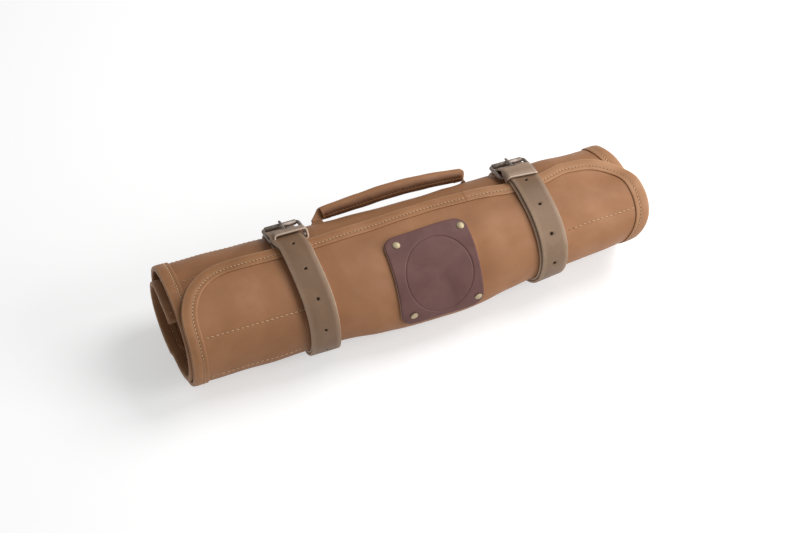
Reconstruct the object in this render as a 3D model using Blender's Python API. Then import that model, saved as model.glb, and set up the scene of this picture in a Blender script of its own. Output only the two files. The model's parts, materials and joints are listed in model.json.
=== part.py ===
# A leather tool roll, rolled up and buckled: one long bound sheet wound a little over
# twice round, two straps with roller buckles, a padded handle and a riveted badge.
# X runs along the roll, the front faces -Y, and Z = 0 is the surface it rests on.
# Sheet places are (u, x, w): u along the winding from the flap's free edge, x along
# the roll, and w outwards from the middle of the sheet's thickness. All in metres.

import math

import bmesh
import bpy
import numpy as np
from mathutils import Matrix, Vector

TURN = 2 * math.pi

# Fit between touching pieces
SEAT_GAP = 0.0003
CUT_OVERRUN = 0.003

# Sheet
SHEET_LENGTH = 0.495
SHEET_THICKNESS = 0.002
SHEET_TURNS = 2.15
ROLL_HALF_DEPTH = 0.0675
ROLL_HALF_HEIGHT = 0.0487
SECTION_POWER = 2.35
REST_FLAT_DEPTH = 0.0016
TURN_CLEARANCE = 0.0012
TELESCOPE_FIRST = -0.0023
TELESCOPE_GROWTH = 0.0029
TAPER_START_X = 0.163
TAPER_END_X = 0.256
TAPER_SHARE = 0.07
TAPER_STEPS = 4
COLUMN_ROOM = 0.001
FLAP_ANGLE = math.radians(-15.5)
FLAP_CORNER_RADIUS = 0.062
CORNER_STEPS = 9

# Edge binding
BINDING_THICKNESS = 0.0011
BINDING_WIDTH = 0.014
BINDING_BUTT_X = 0.072
BINDING_CORNER_ROOM = 0.004

# Pocket strips on the sheet's inner face
POCKET_LEFT_DEPTH = 0.144
POCKET_RIGHT_DEPTH = 0.075
POCKET_THICKNESS = 0.0012
POCKET_START_MARGIN = 0.002
POCKET_END_MARGIN = 0.030

# Straps
STRAP_WIDTH = 0.030
STRAP_THICKNESS = 0.0028
STRAP_LEFT_X = -0.1067
STRAP_RIGHT_X = 0.1418
STRAP_LEFT_TILT = 0.085
STRAP_RIGHT_TILT = 0.0
STRAP_SETTLE = 0.022
STRAP_HOLE_RADIUS = 0.0020
STRAP_HOLE_PITCH = 0.0331
STRAP_HOLE_COUNT = 5
TAIL_LIFT_RUN = 0.012
TAIL_RISE_START = 0.0010
TAIL_RISE_POWER = 1.3
TAIL_CROSSING_SHARE = 0.575
TAIL_SLOT_SHARE = 0.74
TAIL_END_ANGLE = math.pi + math.radians(22)
TAIL_TIP_LENGTH = 0.014
TAIL_TIP_SHARES = ((0.0, 0.42), (0.35, 0.78), (0.7, 0.95))

# Buckles
WIRE_RADIUS = 0.00175
HEEL_BACK = 0.0137
BUCKLE_REACH = 0.0285
ROLLER_RAISE = 0.0020
BUCKLE_SIDE_ROOM = 0.0019
BUCKLE_BEND_RADIUS = 0.0032
ROLLER_RADIUS = 0.00275
ROLLER_END_ROOM = 0.0006
PRONG_RADIUS = 0.0012
PRONG_OVERHANG = 0.0026
PRONG_SLOT_ROOM = 0.0007
PRONG_HOOK_ANGLE = math.radians(280)
PRONG_TIP_SHARE = 0.8
PRONG_PLACE_SHARES = (1.0, 0.62, 0.3)

# Keeper loops
KEEPER_FOOT_WIDTH = 0.0045
KEEPER_WIDTH = 0.0095
KEEPER_LEAN = 0.0085
KEEPER_THICKNESS = 0.0016
KEEPER_SIDE_ROOM = 0.0008

# Handle
HANDLE_X = 0.0172
HANDLE_ANGLE = TURN - math.radians(66)
HANDLE_LENGTH = 0.154
HANDLE_RADIUS = 0.0074
HANDLE_MID_HEIGHT = 0.0150
HANDLE_RISE = 0.0064
HANDLE_LEATHER = 0.0014
HANDLE_STEPS = 16
NECK_THICKNESS = 0.0032
NECK_INSERT = 0.009
NECK_INSERT_HEIGHT = 0.0102
NECK_CREST = 0.0008
NECK_LEFT_REACH = 0.0112
NECK_RIGHT_REACH = 0.0046
NECK_LEFT_EDGE_SHARES = ((0.14, 1.0), (0.48, 0.50))
NECK_RIGHT_EDGE_SHARES = ((0.34, 1.0), (1.05, 0.78), (1.37, 0.44))
NECK_ROOT_SHARE = 0.12
TAB_THICKNESS = 0.0020
TAB_FRONT = 0.0020
TAB_BACK = 0.026
TAB_INWARD = 0.012
TAB_SHOULDER_START = 0.0075
TAB_SHOULDER_END = 0.0105
TAB_CORNER_RADIUS = 0.004
TAB_END_ROOM = 0.0006

# Badge
BADGE_X = 0.0186
BADGE_SIZE = 0.089
BADGE_THICKNESS = 0.0026
BADGE_CORNER_RADIUS = 0.012
BADGE_ANGLE = math.radians(63.6)
RIVET_EDGE = 0.0088
RIVET_HEAD_RADIUS = 0.0043
RIVET_DOME = 0.0019
RIVET_DOME_ANGLES = (22, 45, 68)
RIVET_SHOULDER_SHARE = 0.25
RIVET_STEM_RADIUS = 0.0014
RIVET_CAP_RADIUS = 0.0030
RIVET_CAP_THICKNESS = 0.0008

# Facets: the most a flat facet may stand off the true curve, and its length limits
FACET_SAG = 0.00015
FACET_SHORTEST = 0.004
FACET_LONGEST = 0.016
TRACE_STEPS = 4800
TRACE_SMOOTH = 0.004
LEAD_ANGLE = math.radians(75)

# Worked out from the sizes above
BINDING_HALF = SHEET_THICKNESS / 2 + SEAT_GAP + BINDING_THICKNESS
BINDING_PROUD = SEAT_GAP + BINDING_THICKNESS
TURN_PITCH = 2 * BINDING_HALF + TURN_CLEARANCE
STRAP_SEAT = SEAT_GAP + STRAP_THICKNESS / 2
STRAP_STEP = STRAP_THICKNESS + SEAT_GAP
BAR_HEIGHT = SEAT_GAP + STRAP_THICKNESS + SEAT_GAP + WIRE_RADIUS
CHAPE_RADIUS = WIRE_RADIUS + SEAT_GAP + STRAP_THICKNESS / 2
ROLLER_HEIGHT = ROLLER_RAISE + SEAT_GAP + STRAP_THICKNESS + SEAT_GAP + ROLLER_RADIUS
HOOK_RADIUS = WIRE_RADIUS + SEAT_GAP + PRONG_RADIUS
BUCKLE_HALF = STRAP_WIDTH / 2 + BUCKLE_SIDE_ROOM + WIRE_RADIUS
HEEL_U = -HEEL_BACK
ROLLER_U = HEEL_U - BUCKLE_REACH
PIVOT_HEIGHT = SEAT_GAP + TAB_THICKNESS + SEAT_GAP + NECK_THICKNESS / 2


def turn_radius(angle, inset):
    depth = ROLL_HALF_DEPTH - inset
    height = ROLL_HALF_HEIGHT - inset
    across = abs(math.sin(angle) / depth) ** SECTION_POWER
    along = abs(math.cos(angle) / height) ** SECTION_POWER
    return (across + along) ** (-1 / SECTION_POWER)


def lowest_of_turn(turn):
    inset = TURN_PITCH * (turn + 0.5 - FLAP_ANGLE / TURN)
    return REST_FLAT_DEPTH + inset - ROLL_HALF_HEIGHT


def spiral_point(angle):
    # The angle starts at the top and grows towards the front
    inset = TURN_PITCH * (angle - FLAP_ANGLE) / TURN
    radius = turn_radius(angle, inset)
    floor = lowest_of_turn(math.floor(angle / TURN))
    return -radius * math.sin(angle), max(radius * math.cos(angle), floor)


def trace_spiral():
    # A dense run of the winding: angle, length from the flap's edge, place and normal
    angles = np.linspace(FLAP_ANGLE - LEAD_ANGLE, FLAP_ANGLE + (SHEET_TURNS + 0.1) * TURN,
                         TRACE_STEPS)
    points = np.array([spiral_point(angle) for angle in angles])
    pieces = np.hypot(*np.diff(points, axis=0).T)
    run = np.concatenate([[0.0], np.cumsum(pieces)])
    run = run - np.interp(FLAP_ANGLE, angles, run)
    slope = np.gradient(points, run, axis=0)
    normals = np.stack([slope[:, 1], -slope[:, 0]], axis=1)
    width = max(3, int(TRACE_SMOOTH / (run[-1] - run[0]) * TRACE_STEPS) | 1)
    padded = np.pad(normals, ((width // 2, width // 2), (0, 0)), mode="edge")
    window = np.ones(width) / width
    smooth = np.stack([np.convolve(padded[:, k], window, "valid") for k in (0, 1)], axis=1)
    smooth /= np.linalg.norm(smooth, axis=1, keepdims=True)
    return {"angle": angles, "run": run, "points": points, "normals": smooth}


SPIRAL = trace_spiral()


def length_at(angle):
    return float(np.interp(angle, SPIRAL["angle"], SPIRAL["run"]))


def angle_at(u):
    return float(np.interp(u, SPIRAL["run"], SPIRAL["angle"]))


def under(u):
    # The place one turn further in, at the same angle
    return length_at(angle_at(u) + TURN)


def normal_at(u):
    normal = Vector([float(np.interp(u, SPIRAL["run"], SPIRAL["normals"][:, k])) for k in (0, 1)])
    return normal.normalized()


def middle_at(u):
    return Vector([float(np.interp(u, SPIRAL["run"], SPIRAL["points"][:, k])) for k in (0, 1)])


def back_reach():
    # How far the handle and the straps stand out behind the winding's middle
    handle_u = length_at(HANDLE_ANGLE)
    grip = middle_at(handle_u) + normal_at(handle_u) * (SHEET_THICKNESS / 2 + HANDLE_MID_HEIGHT)
    strap = max(SPIRAL["points"][:, 0]) + SHEET_THICKNESS / 2 + STRAP_STEP
    return max(grip.x + HANDLE_RADIUS, strap)


def front_reach():
    return ROLL_HALF_DEPTH + SHEET_THICKNESS / 2 + 2 * STRAP_STEP


LIFT = Vector(((front_reach() - back_reach()) / 2,
               SHEET_THICKNESS / 2 + 2 * STRAP_STEP - lowest_of_turn(0)))
SHEET_END = length_at(FLAP_ANGLE + SHEET_TURNS * TURN)


def section(u, w):
    # A place in the roll's cross-section, as (y, z)
    return middle_at(u) + normal_at(u) * w + LIFT


def over_flap(u, height):
    return section(u, SHEET_THICKNESS / 2 + height)


def over_lower(u, height):
    # Above the turn that lies one step lower behind the flap's edge
    return section(under(u), SHEET_THICKNESS / 2 + height)


def slip(turns):
    # How far the winding has slipped sideways, more in the inner turns
    return TELESCOPE_FIRST * turns + TELESCOPE_GROWTH * turns * max(turns, 0.0)


def lean(u):
    return slip(SHEET_TURNS) / 2 - slip((angle_at(u) - FLAP_ANGLE) / TURN)


def narrowed(x, place):
    # The roll is wound tighter towards its right end, drawn in to its top back corner
    share = min(max((x - TAPER_START_X) / (TAPER_END_X - TAPER_START_X), 0.0), 1.0)
    corner = LIFT + Vector((ROLL_HALF_DEPTH, ROLL_HALF_HEIGHT))
    return corner + (place - corner) * (1 - TAPER_SHARE * share ** 2)


def wrap(u, x, w):
    x += lean(u)
    place = narrowed(x, section(u, w))
    return Vector((x, place.x, place.y))


def trace_stations():
    # Shorter steps where the winding bends more
    turning = np.unwrap(np.arctan2(SPIRAL["normals"][:, 1], SPIRAL["normals"][:, 0]))
    bend = np.abs(np.gradient(turning, SPIRAL["run"]))
    places = [SPIRAL["run"][0]]
    while places[-1] < SPIRAL["run"][-1]:
        ahead = np.interp(places[-1] + np.linspace(0, FACET_SHORTEST, 5), SPIRAL["run"], bend)
        step = math.sqrt(8 * FACET_SAG / max(float(ahead.mean()), 1e-6))
        places.append(places[-1] + min(max(step, FACET_SHORTEST), FACET_LONGEST))
    return places


STATIONS = trace_stations()


def stations(start, end, extra=()):
    # The shared stations inside a stretch, with its ends and any extra ones
    fixed = sorted(set([start, end] + [u for u in extra if start < u < end]))
    near = FACET_SHORTEST / 3
    shared = [u for u in STATIONS if start < u < end and min(abs(u - f) for f in fixed) > near]
    return sorted(fixed + shared)


def new_object(name, mesh, origin=None):
    if origin is not None:
        mesh.transform(Matrix.Translation(-origin))
    thing = bpy.data.objects.new(name, mesh)
    if origin is not None:
        thing.location = origin
    bpy.context.collection.objects.link(thing)
    return thing


def loft(name, rings, closed=False, origin=None, smooth_angle=None):
    # A solid skinned over rings of points, capped at its ends or closed into a loop
    shape = bmesh.new()
    loops = [[shape.verts.new(point) for point in ring] for ring in rings]
    count = len(loops)
    around = len(loops[0])
    for k in range(count if closed else count - 1):
        here, there = loops[k], loops[(k + 1) % count]
        for j in range(around):
            i = (j + 1) % around
            shape.faces.new((here[j], here[i], there[i], there[j]))
    for loop in () if closed else (loops[0], loops[-1]):
        # A long ring is closed in steps, each point joined to its partner across
        half = around // 2
        if around % 2:
            shape.faces.new(loop)
        for j in range(0 if around % 2 else half - 1):
            shape.faces.new((loop[j], loop[j + 1], loop[around - 2 - j], loop[around - 1 - j]))
    bmesh.ops.recalc_face_normals(shape, faces=shape.faces)
    mesh = bpy.data.meshes.new(name)
    shape.to_mesh(mesh)
    shape.free()
    if smooth_angle is not None:
        mesh.shade_smooth()
        mesh.set_sharp_from_angle(angle=smooth_angle)
    return new_object(name, mesh, origin)


def paint(thing, name, color, roughness, metallic=0.0):
    material = bpy.data.materials.get(name)
    if material is None:
        material = bpy.data.materials.new(name)
        material.use_nodes = True
        shader = material.node_tree.nodes["Principled BSDF"]
        shader.inputs["Base Color"].default_value = (*color, 1.0)
        shader.inputs["Roughness"].default_value = roughness
        shader.inputs["Metallic"].default_value = metallic
    thing.data.materials.append(material)
    return thing


def tan_leather(thing):
    return paint(thing, "tan_leather", (0.36, 0.19, 0.10), 0.55)


def strap_leather(thing):
    return paint(thing, "strap_leather", (0.24, 0.15, 0.09), 0.60)


def badge_leather(thing):
    return paint(thing, "badge_leather", (0.11, 0.045, 0.035), 0.50)


def dark_bronze(thing):
    return paint(thing, "dark_bronze", (0.10, 0.075, 0.06), 0.42, 0.9)


def rivet_brass(thing):
    return paint(thing, "rivet_brass", (0.55, 0.38, 0.17), 0.35, 1.0)


def core_fibre(thing):
    return paint(thing, "core_fibre", (0.55, 0.50, 0.40), 0.9)


def cutter(name, mesh):
    thing = new_object(name, mesh)
    thing.hide_render = True
    thing.display_type = "WIRE"
    return thing


def cut(thing, tool):
    step = thing.modifiers.new("cut", "BOOLEAN")
    step.operation = "DIFFERENCE"
    step.solver = "EXACT"
    step.object = tool


def drill(name, holes, radius, reach_in, reach_out, facets=10):
    # Round cutters, each given by its centre and its direction
    shape = bmesh.new()
    for centre, direction in holes:
        turn = Vector((0, 0, 1)).rotation_difference(direction).to_matrix().to_4x4()
        shift = Matrix.Translation(centre + direction * (reach_out - reach_in) / 2)
        bmesh.ops.create_cone(shape, cap_ends=True, segments=facets, radius1=radius,
                              radius2=radius, depth=reach_in + reach_out, matrix=shift @ turn)
    mesh = bpy.data.meshes.new(name)
    shape.to_mesh(mesh)
    shape.free()
    return cutter(name, mesh)


def corner_cut(distance, radius):
    # How much narrower a rounded sheet is at this distance from its edge
    if distance >= radius:
        return 0.0
    return radius - math.sqrt(max(radius ** 2 - (radius - distance) ** 2, 0.0))


def corner_stations(radius, steps=CORNER_STEPS):
    return [radius * (1 - math.cos(math.pi / 2 * k / steps)) for k in range(1, steps + 1)]


def taper_bends(left, right):
    # Where, between these sheet places, the taper needs points of its own
    reach = TAPER_END_X - TAPER_START_X
    bends = [TAPER_START_X + reach * k / TAPER_STEPS for k in range(TAPER_STEPS)]
    return [x for x in bends if left < x < right]


def row_places(left, right, bends, u):
    places = [left]
    for k, x in enumerate(bends):
        places.append(min(x - lean(u), right - COLUMN_ROOM * (len(bends) - k)))
    return places + [right]


def patch(name, start, end, left, right, middle, thickness, radii=(0.0, 0.0), steps=4):
    # A flat-cut piece laid round the roll, with rounded corners at its two ends
    bends = taper_bends(left, right)
    extra = [start + d for d in corner_stations(radii[0], steps)] if radii[0] else []
    extra += [end - d for d in corner_stations(radii[1], steps)] if radii[1] else []
    rings = []
    for u in stations(start, end, extra):
        narrow = max(corner_cut(u - start, radii[0]), corner_cut(end - u, radii[1]))
        places = row_places(left + narrow, right - narrow, bends, u)
        rings.append([wrap(u, x, middle + thickness / 2) for x in places]
                     + [wrap(u, x, middle - thickness / 2) for x in reversed(places)])
    return loft(name, rings)


def rivet_places():
    # Sheet places of the four rivets, one near each corner of the badge
    reach = BADGE_SIZE / 2 - RIVET_EDGE
    middle = length_at(BADGE_ANGLE)
    return [(middle + down * reach, BADGE_X + side * reach)
            for down in (-1, 1) for side in (-1, 1)]


def rivet_axis(u, x):
    across = normal_at(u)
    return wrap(u, x, 0.0), Vector((0.0, across.x, across.y))


def build_outer_panel():
    half = SHEET_LENGTH / 2
    panel = patch("outer_panel", 0.0, SHEET_END, -half, half, 0.0, SHEET_THICKNESS,
                  (FLAP_CORNER_RADIUS, 0.0), CORNER_STEPS)
    room = SHEET_THICKNESS / 2 + SEAT_GAP + 2 * FACET_SAG
    holes = [rivet_axis(u, x) for u, x in rivet_places()]
    cut(panel, drill("panel_holes", holes, RIVET_STEM_RADIUS + SEAT_GAP, room, room))
    return tan_leather(panel)


def binding_outline():
    # The sheet's outline with its inward directions, from one side of the butt joint
    # round to the other; each entry is (u, x, inward u, inward x)
    half = SHEET_LENGTH / 2
    radius = FLAP_CORNER_RADIUS
    outline = [(0.0, BINDING_BUTT_X - SEAT_GAP / 2, 1.0, 0.0)]
    for k in range(CORNER_STEPS + 1):
        turned = math.pi / 2 * k / CORNER_STEPS
        outline.append((radius * (1 - math.cos(turned)),
                        -half + radius * (1 - math.sin(turned)),
                        math.cos(turned), math.sin(turned)))
    side = [u for u in stations(radius, SHEET_END)[1:-1] if u < SHEET_END - BINDING_CORNER_ROOM]
    outline += [(u, -half, 0.0, 1.0) for u in side]
    outline.append((SHEET_END, -half, -1.0, 1.0))
    outline += [(SHEET_END, x - lean(SHEET_END), -1.0, 0.0) for x in taper_bends(-half, half)]
    outline.append((SHEET_END, half, -1.0, -1.0))
    outline += [(u, half, 0.0, -1.0) for u in reversed(side)]
    for k in range(CORNER_STEPS, -1, -1):
        turned = math.pi / 2 * k / CORNER_STEPS
        outline.append((radius * (1 - math.cos(turned)),
                        half - radius * (1 - math.sin(turned)),
                        math.cos(turned), -math.sin(turned)))
    bends = taper_bends(BINDING_BUTT_X, half - radius + lean(0.0))
    outline += [(0.0, x - lean(0.0), 1.0, 0.0) for x in reversed(bends)]
    outline.append((0.0, BINDING_BUTT_X + SEAT_GAP / 2, 1.0, 0.0))
    return outline


def binding_profile():
    # Points of the folded strip's section as (distance in from the edge, w)
    inner = SHEET_THICKNESS / 2 + SEAT_GAP
    outer = BINDING_HALF
    deep = BINDING_WIDTH
    return [(deep, outer), (deep / 2, outer), (-BINDING_PROUD, outer),
            (-BINDING_PROUD, -outer), (deep / 2, -outer), (deep, -outer),
            (deep, -inner), (deep / 2, -inner), (-SEAT_GAP, -inner),
            (-SEAT_GAP, inner), (deep / 2, inner), (deep, inner)]


def build_edge_binding():
    rings = [[wrap(u + du * d, x + dx * d, w) for d, w in binding_profile()]
             for u, x, du, dx in binding_outline()]
    return tan_leather(loft("edge_binding", rings))


def build_pocket_strip(side_name, side, depth):
    edge = SHEET_LENGTH / 2 - BINDING_WIDTH - SEAT_GAP
    mouth = edge - depth
    left, right = sorted((side * edge, side * mouth))
    middle = -(SHEET_THICKNESS / 2 + SEAT_GAP + POCKET_THICKNESS / 2)
    start = FLAP_CORNER_RADIUS + POCKET_START_MARGIN
    strip = patch("pocket_strip_" + side_name, start, SHEET_END - POCKET_END_MARGIN,
                  left, right, middle, POCKET_THICKNESS)
    return tan_leather(strip)


def smooth_share(share):
    share = min(max(share, 0.0), 1.0)
    return share * share * (3 - 2 * share)


def bar_frame():
    # The heel bar's centre, the direction towards the flap and the outward direction
    normal = normal_at(under(HEEL_U))
    return over_lower(HEEL_U, BAR_HEIGHT), Vector((-normal.y, normal.x)), normal


def flap_lip():
    # Just behind the flap's bound edge
    return -(BINDING_PROUD + SEAT_GAP)


def front_layer(extra_height, end):
    # The strap's middle line from above the heel bar over the flap's edge to its end
    proud = BINDING_PROUD + STRAP_SEAT
    settled = BINDING_WIDTH + STRAP_SETTLE
    line = [over_lower(HEEL_U, BAR_HEIGHT + CHAPE_RADIUS + extra_height),
            over_flap(flap_lip(), proud + extra_height)]
    for u in stations(flap_lip(), end, (BINDING_WIDTH, settled))[1:]:
        share = smooth_share((u - BINDING_WIDTH) / STRAP_SETTLE)
        height = proud + (STRAP_SEAT - proud) * share
        line.append(over_flap(u, height + extra_height))
    return line


def chape_turn(steps=10):
    centre, along, normal = bar_frame()
    turn = []
    for k in range(steps + 1):
        turned = -math.pi / 2 - math.pi * k / steps
        turn.append(centre + CHAPE_RADIUS * (math.cos(turned) * along + math.sin(turned) * normal))
    return turn


def under_roller():
    # The tail's middle where it passes close under the roller, and the steps up to there
    height = ROLLER_HEIGHT - ROLLER_RADIUS - STRAP_SEAT
    return [over_lower(ROLLER_U - TAIL_LIFT_RUN * (1 - share),
                       STRAP_SEAT + (height - STRAP_SEAT) * smooth_share(share))
            for share in (0.3, 0.6, 1.0)]


def strap_rise(steps=6):
    # From the roller up through the frame, steep at first, to the top of the heel bar
    low = ROLLER_HEIGHT - ROLLER_RADIUS - STRAP_SEAT
    top = BAR_HEIGHT + CHAPE_RADIUS + STRAP_STEP
    start = ROLLER_U + TAIL_RISE_START
    line = []
    for k in range(steps):
        share = k / steps
        height = low + (top - low) * (1 - (1 - share) ** TAIL_RISE_POWER)
        line.append(over_lower(start + (HEEL_U - start) * share, height))
    return line


def strap_line():
    # The strap's middle line: short end, round the heel bar, round the roll, under the
    # roller, over the heel bar and down the front again; with the roller's place on it
    short_end = flap_lip() - STRAP_THICKNESS / 2
    line = [over_lower(short_end, STRAP_SEAT)]
    line += chape_turn()
    line += front_layer(0.0, under(ROLLER_U - TAIL_LIFT_RUN))[1:]
    line += under_roller()
    at_roller = len(line) - 1
    line += strap_rise()
    line += front_layer(STRAP_STEP, length_at(TAIL_END_ANGLE))
    return line, at_roller


def mitred(line, half):
    # The two sides of a band of constant thickness about a bent line
    sides = ([], [])
    for k, point in enumerate(line):
        before = (point - line[k - 1]).normalized() if k else None
        after = (line[k + 1] - point).normalized() if k < len(line) - 1 else None
        before = before or after
        after = after or before
        mean = (before + after).normalized()
        normal = Vector((mean.y, -mean.x))
        reach = half / max(mean.dot(after), 0.5)
        sides[0].append(point + normal * reach)
        sides[1].append(point - normal * reach)
    return sides


def lengths_along(line):
    total = [0.0]
    for k in range(1, len(line)):
        total.append(total[-1] + (line[k] - line[k - 1]).length)
    return total


def point_along(line, distance):
    total = lengths_along(line)
    k = max(1, min(int(np.searchsorted(total, distance)), len(line) - 1))
    share = (distance - total[k - 1]) / (total[k] - total[k - 1])
    direction = (line[k] - line[k - 1]).normalized()
    return line[k - 1].lerp(line[k], share), direction


def tip_line(line):
    # The tail's line with stations added for its tapered tip, and each point's width
    total = lengths_along(line)
    end = total[-1]
    marks = [end - TAIL_TIP_LENGTH * share for share, width in TAIL_TIP_SHARES]
    keep = [d for d in total if d < end - TAIL_TIP_LENGTH]
    widths = [1.0] * (len(keep) + 1)
    widths += [width for share, width in reversed(TAIL_TIP_SHARES)]
    places = keep + [end - TAIL_TIP_LENGTH] + list(reversed(marks))
    points = line[:len(keep)] + [point_along(line, d)[0] for d in places[len(keep):]]
    return points, widths


def prong_line(steps=9):
    # Straight over the roller from the heel bar, hooked round the bar behind
    heel = bar_frame()[0]
    reach = over_lower(ROLLER_U, ROLLER_HEIGHT) - heel
    over = ROLLER_RADIUS + SEAT_GAP + PRONG_RADIUS
    rise = math.asin((over - HOOK_RADIUS) / reach.length)
    start = math.atan2(reach.y, reach.x)
    turned = start + rise
    forward = Vector((math.cos(turned), math.sin(turned)))
    outward = Vector((-forward.y, forward.x))
    length = reach.length + PRONG_OVERHANG
    line = [heel + outward * HOOK_RADIUS + forward * length * share for share in PRONG_PLACE_SHARES]
    for k in range(steps + 1):
        swing = PRONG_HOOK_ANGLE * k / steps
        spoke = outward * math.cos(swing) - forward * math.sin(swing)
        line.append(heel + spoke * HOOK_RADIUS)
    return line, heel, forward, outward


def across_strap(x, tilt, z):
    # Where the strap's middle stands at this height: it may run a little askew
    return x + tilt * (LIFT.y + ROLL_HALF_HEIGHT - z)


def strap_cutter(name, x, tilt, line, at_roller):
    # The prong's slot through the bent end and the tail, and the punched holes
    shape = bmesh.new()
    heel, forward, outward = prong_line()[1:]
    half = PRONG_RADIUS + PRONG_SLOT_ROOM
    chape_top = CHAPE_RADIUS + STRAP_THICKNESS / 2 + SEAT_GAP / 2
    low = -(CHAPE_RADIUS + STRAP_THICKNESS / 2 + SEAT_GAP)
    near = HOOK_RADIUS + PRONG_RADIUS + PRONG_SLOT_ROOM
    tail_near = CHAPE_RADIUS / 2
    tail_far = BUCKLE_REACH * TAIL_SLOT_SHARE
    high = chape_top + STRAP_THICKNESS + 2 * CUT_OVERRUN
    profile = ((-near, low), (-near, chape_top), (tail_near, chape_top), (tail_near, high),
               (tail_far, high), (tail_far, 0.0), (near, 0.0), (near, low))
    loops = []
    for side in (x - half, x + half):
        loop = []
        for ahead, out in profile:
            place = heel + forward * ahead + outward * out
            loop.append(shape.verts.new((side, place.x, place.y)))
        loops.append(loop)
    for k in range(len(profile)):
        j = (k + 1) % len(profile)
        shape.faces.new((loops[0][k], loops[0][j], loops[1][j], loops[1][k]))
    shape.faces.new(loops[0])
    shape.faces.new(loops[1])
    bmesh.ops.recalc_face_normals(shape, faces=shape.faces)
    total = lengths_along(line)
    crossing = total[at_roller] + BUCKLE_REACH * TAIL_CROSSING_SHARE
    for k in range(STRAP_HOLE_COUNT):
        middle, direction = point_along(line, crossing + STRAP_HOLE_PITCH * (k + 1))
        outward = Vector((0.0, direction.y, -direction.x))
        depth = STRAP_THICKNESS + SEAT_GAP + CUT_OVERRUN
        inside = STRAP_THICKNESS / 2 + SEAT_GAP / 2
        shift = depth / 2 - inside
        askew = across_strap(x, tilt, middle.y)
        place = Vector((askew, middle.x, middle.y)) + outward * shift
        turn = Vector((0, 0, 1)).rotation_difference(outward).to_matrix().to_4x4()
        bmesh.ops.create_cone(shape, cap_ends=True, segments=10, radius1=STRAP_HOLE_RADIUS,
                              radius2=STRAP_HOLE_RADIUS, depth=depth,
                              matrix=Matrix.Translation(place) @ turn)
    mesh = bpy.data.meshes.new(name)
    shape.to_mesh(mesh)
    shape.free()
    return cutter(name, mesh)


def build_strap(side_name, x, tilt):
    line, at_roller = strap_line()
    points, widths = tip_line(line)
    outer, inner = mitred(points, STRAP_THICKNESS / 2)
    rings = []
    for here, there, share in zip(outer, inner, widths):
        half = STRAP_WIDTH / 2 * share
        ring = []
        for side, place in ((-half, here), (half, here), (half, there), (-half, there)):
            ring.append((across_strap(x, tilt, place.y) + side, place.x, place.y))
        rings.append(ring)
    strap = loft("strap_" + side_name, rings)
    cut(strap, strap_cutter("strap_cuts_" + side_name, x, tilt, line, at_roller))
    return strap_leather(strap)


def round_corners(half_x, low, high, radius, steps):
    # A rounded rectangle in (x, outward) with its outward unit directions
    points = []
    for cx, cy, start in ((half_x - radius, high - radius, 0.0),
                          (radius - half_x, high - radius, math.pi / 2),
                          (radius - half_x, low + radius, math.pi),
                          (half_x - radius, low + radius, math.pi * 1.5)):
        for k in range(steps + 1):
            turned = start + math.pi / 2 * k / steps
            points.append((cx, cy, math.cos(turned), math.sin(turned), radius))
    return points


def build_keeper(side_name, x):
    # A loop of leather round both layers, just in front of the heel bar, leaning back
    rear = over_lower(HEEL_U, BAR_HEIGHT + CHAPE_RADIUS)
    front = over_flap(flap_lip(), BINDING_PROUD + STRAP_SEAT)
    along = (front - rear).normalized()
    outward = Vector((along.y, -along.x))
    start = HOOK_RADIUS + PRONG_RADIUS + 2 * SEAT_GAP
    low = -(STRAP_THICKNESS / 2 + SEAT_GAP)
    high = STRAP_THICKNESS / 2 + SEAT_GAP + STRAP_STEP
    half = STRAP_WIDTH / 2 + KEEPER_SIDE_ROOM
    rings = []
    for cx, cy, dx, dy, turn in round_corners(half, low, high, SEAT_GAP, 2):
        share = smooth_share((cy - low) / (high - low))
        near = start - KEEPER_LEAN * share
        far = near + KEEPER_FOOT_WIDTH + (KEEPER_WIDTH - KEEPER_FOOT_WIDTH) * share
        ring = []
        for reach, ahead in ((turn, near), (turn + KEEPER_THICKNESS, near),
                             (turn + KEEPER_THICKNESS, far), (turn, far)):
            place = rear + along * ahead + outward * (cy + dy * reach)
            ring.append((x + cx + dx * reach, place.x, place.y))
        rings.append(ring)
    return strap_leather(loft("keeper_" + side_name, rings, closed=True))


def circle_ring(centre, first, second, radius, facets):
    return [centre + radius * (math.cos(TURN * k / facets) * first
                               + math.sin(TURN * k / facets) * second) for k in range(facets)]


def build_buckle_frame(side_name, x):
    # A round wire bent to a rectangle: heel bar in front, roller bar behind
    heel = over_lower(HEEL_U, BAR_HEIGHT)
    roller = over_lower(ROLLER_U, ROLLER_HEIGHT)
    away = (roller - heel).normalized()
    normal = Vector((-away.y, away.x))
    length = (roller - heel).length
    rings = []
    up = Vector((0.0, normal.x, normal.y))
    for cx, cy, dx, dy, turn in round_corners(BUCKLE_HALF, 0.0, length, BUCKLE_BEND_RADIUS, 3):
        place = heel + away * (cy + dy * turn)
        spoke = Vector((dx, dy * away.x, dy * away.y))
        centre = Vector((x + cx + dx * turn, place.x, place.y))
        rings.append(circle_ring(centre, spoke, up, WIRE_RADIUS, 10))
    origin = Vector((x, heel.x, heel.y))
    frame = loft("buckle_frame_" + side_name, rings, closed=True, origin=origin,
                 smooth_angle=math.radians(50))
    return dark_bronze(frame)


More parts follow.
